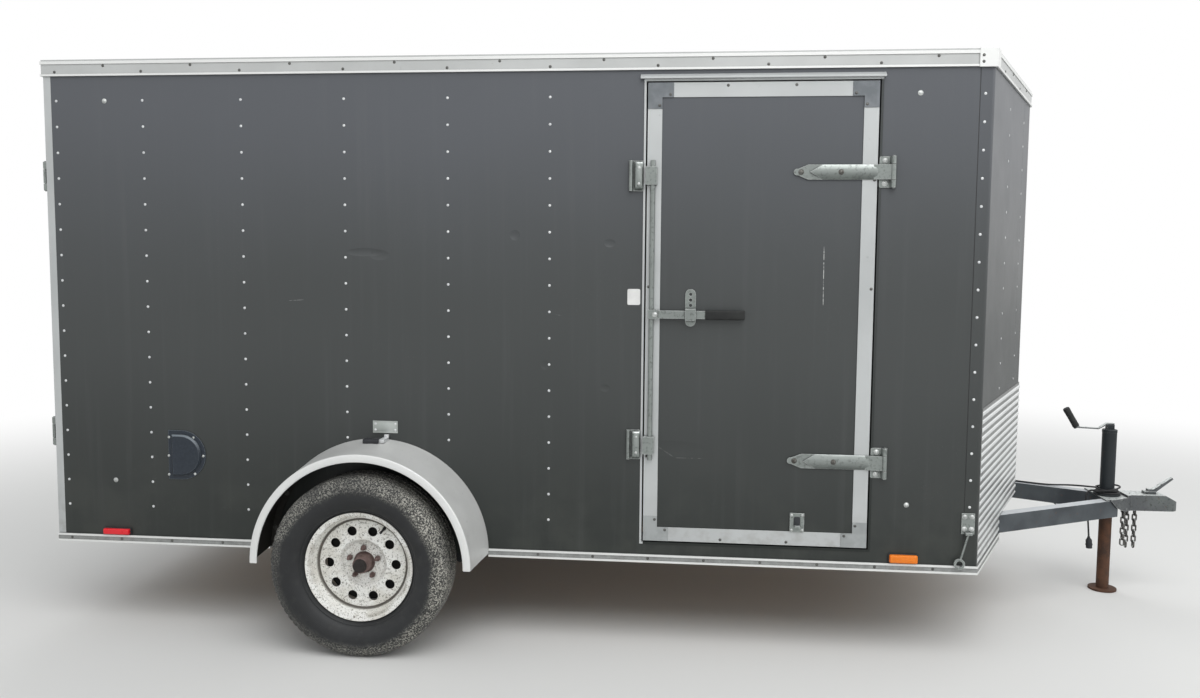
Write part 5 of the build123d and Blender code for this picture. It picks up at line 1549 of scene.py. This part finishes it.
lamps = {
    "baseOut": 0.006, "baseEase": 0.0015, "side": 0.003, "rise": 0.002, "overlap": 0.002,
    "markerEase": 0.0055, "tailEase": 0.0045, "tailSink": 0.005, "tailOverlap": 0.004,
    # y, half width, foot, top and distance out from the rear frame
    "tails": ((-0.740, 0.080, 0.366, 0.416, 0.022), (0.740, 0.080, 0.366, 0.416, 0.022),
              (-0.190, 0.026, 2.184, 2.204, 0.014), (0.0, 0.026, 2.184, 2.204, 0.014),
              (0.190, 0.026, 2.184, 2.204, 0.014)),
}


def markerLamps(name):
    # a dark base with a rounded lens on it, where each CAD lamp stands
    low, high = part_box(f"{name}_lamps")
    aside = lamps["side"]
    rise = lamps["rise"]
    base = bmesh.new()
    lens = bmesh.new()
    for side in (-1, 1):
        seam = half + lamps["baseOut"]
        y0, y1 = sorted((side * half, side * seam))
        brick(base, (low.x, y0, low.z), (high.x, y1, high.z), lamps["baseEase"])
        y0, y1 = sorted((side * (seam - lamps["overlap"]), side * -low.y))
        brick(lens, (low.x + aside, y0, low.z + rise), (high.x - aside, y1, high.z - rise),
              lamps["markerEase"], 4)
    slot = f"{name}_lens"
    keep(f"markerBase.{name}", outward(base), "plastic", "chassis", slot)
    keep(f"markerLens.{name}", outward(lens), name, "chassis", slot, (f"{name}_lamps",), 40)


def tailLamps():
    aside = lamps["side"]
    rise = lamps["rise"]
    base = bmesh.new()
    lens = bmesh.new()
    for y, wide, z0, z1, out in lamps["tails"]:
        brick(base, (rear - lamps["tailSink"], y - wide, z0), (rear, y + wide, z1),
              lamps["baseEase"])
        brick(lens, (rear - out, y - wide + aside, z0 + rise),
              (rear - lamps["tailOverlap"], y + wide - aside, z1 - rise), lamps["tailEase"], 4)
    keep("tailBase", outward(base), "plastic", "chassis", "red_lens")
    keep("tailLens", outward(lens), "red", "chassis", "red_lens", ("tail_lamps",), 40)


crank = {"foot": (1.9665, 0, 0.755), "lean": 31,
         "sleeve": ((0, 0.006), (0.0140, 0.006), (0.0152, 0.009), (0.0146, 0.020),
                    (0.0142, 0.050), (0.0146, 0.080), (0.0152, 0.093), (0.0144, 0.0995),
                    (0.0120, 0.1015), (0, 0.1018))}


def crankGrip():
    lean = radians(crank["lean"])
    place = turned(crank["foot"], (-sin(lean), 0, cos(lean)), (0, 1, 0))
    lathePiece("crankSleeve", crank["sleeve"], place, 32, "grip", "chassis", "coupler_zinc")


skinRivets()
trimScrews()
for name in doors:
    doorBolts(name)
    doorEdging(name)
    lockSleeve(name)
wallHardware()
keeperHousings()
doorCatch()
blankPlate()
blankLabel()
fenderClip()
print("fasteners and door hardware made")
makeFenders()
makeChains()
for name in ("amber", "red"):
    markerLamps(name)
tailLamps()
crankGrip()
print("fenders, chains and lamps made")
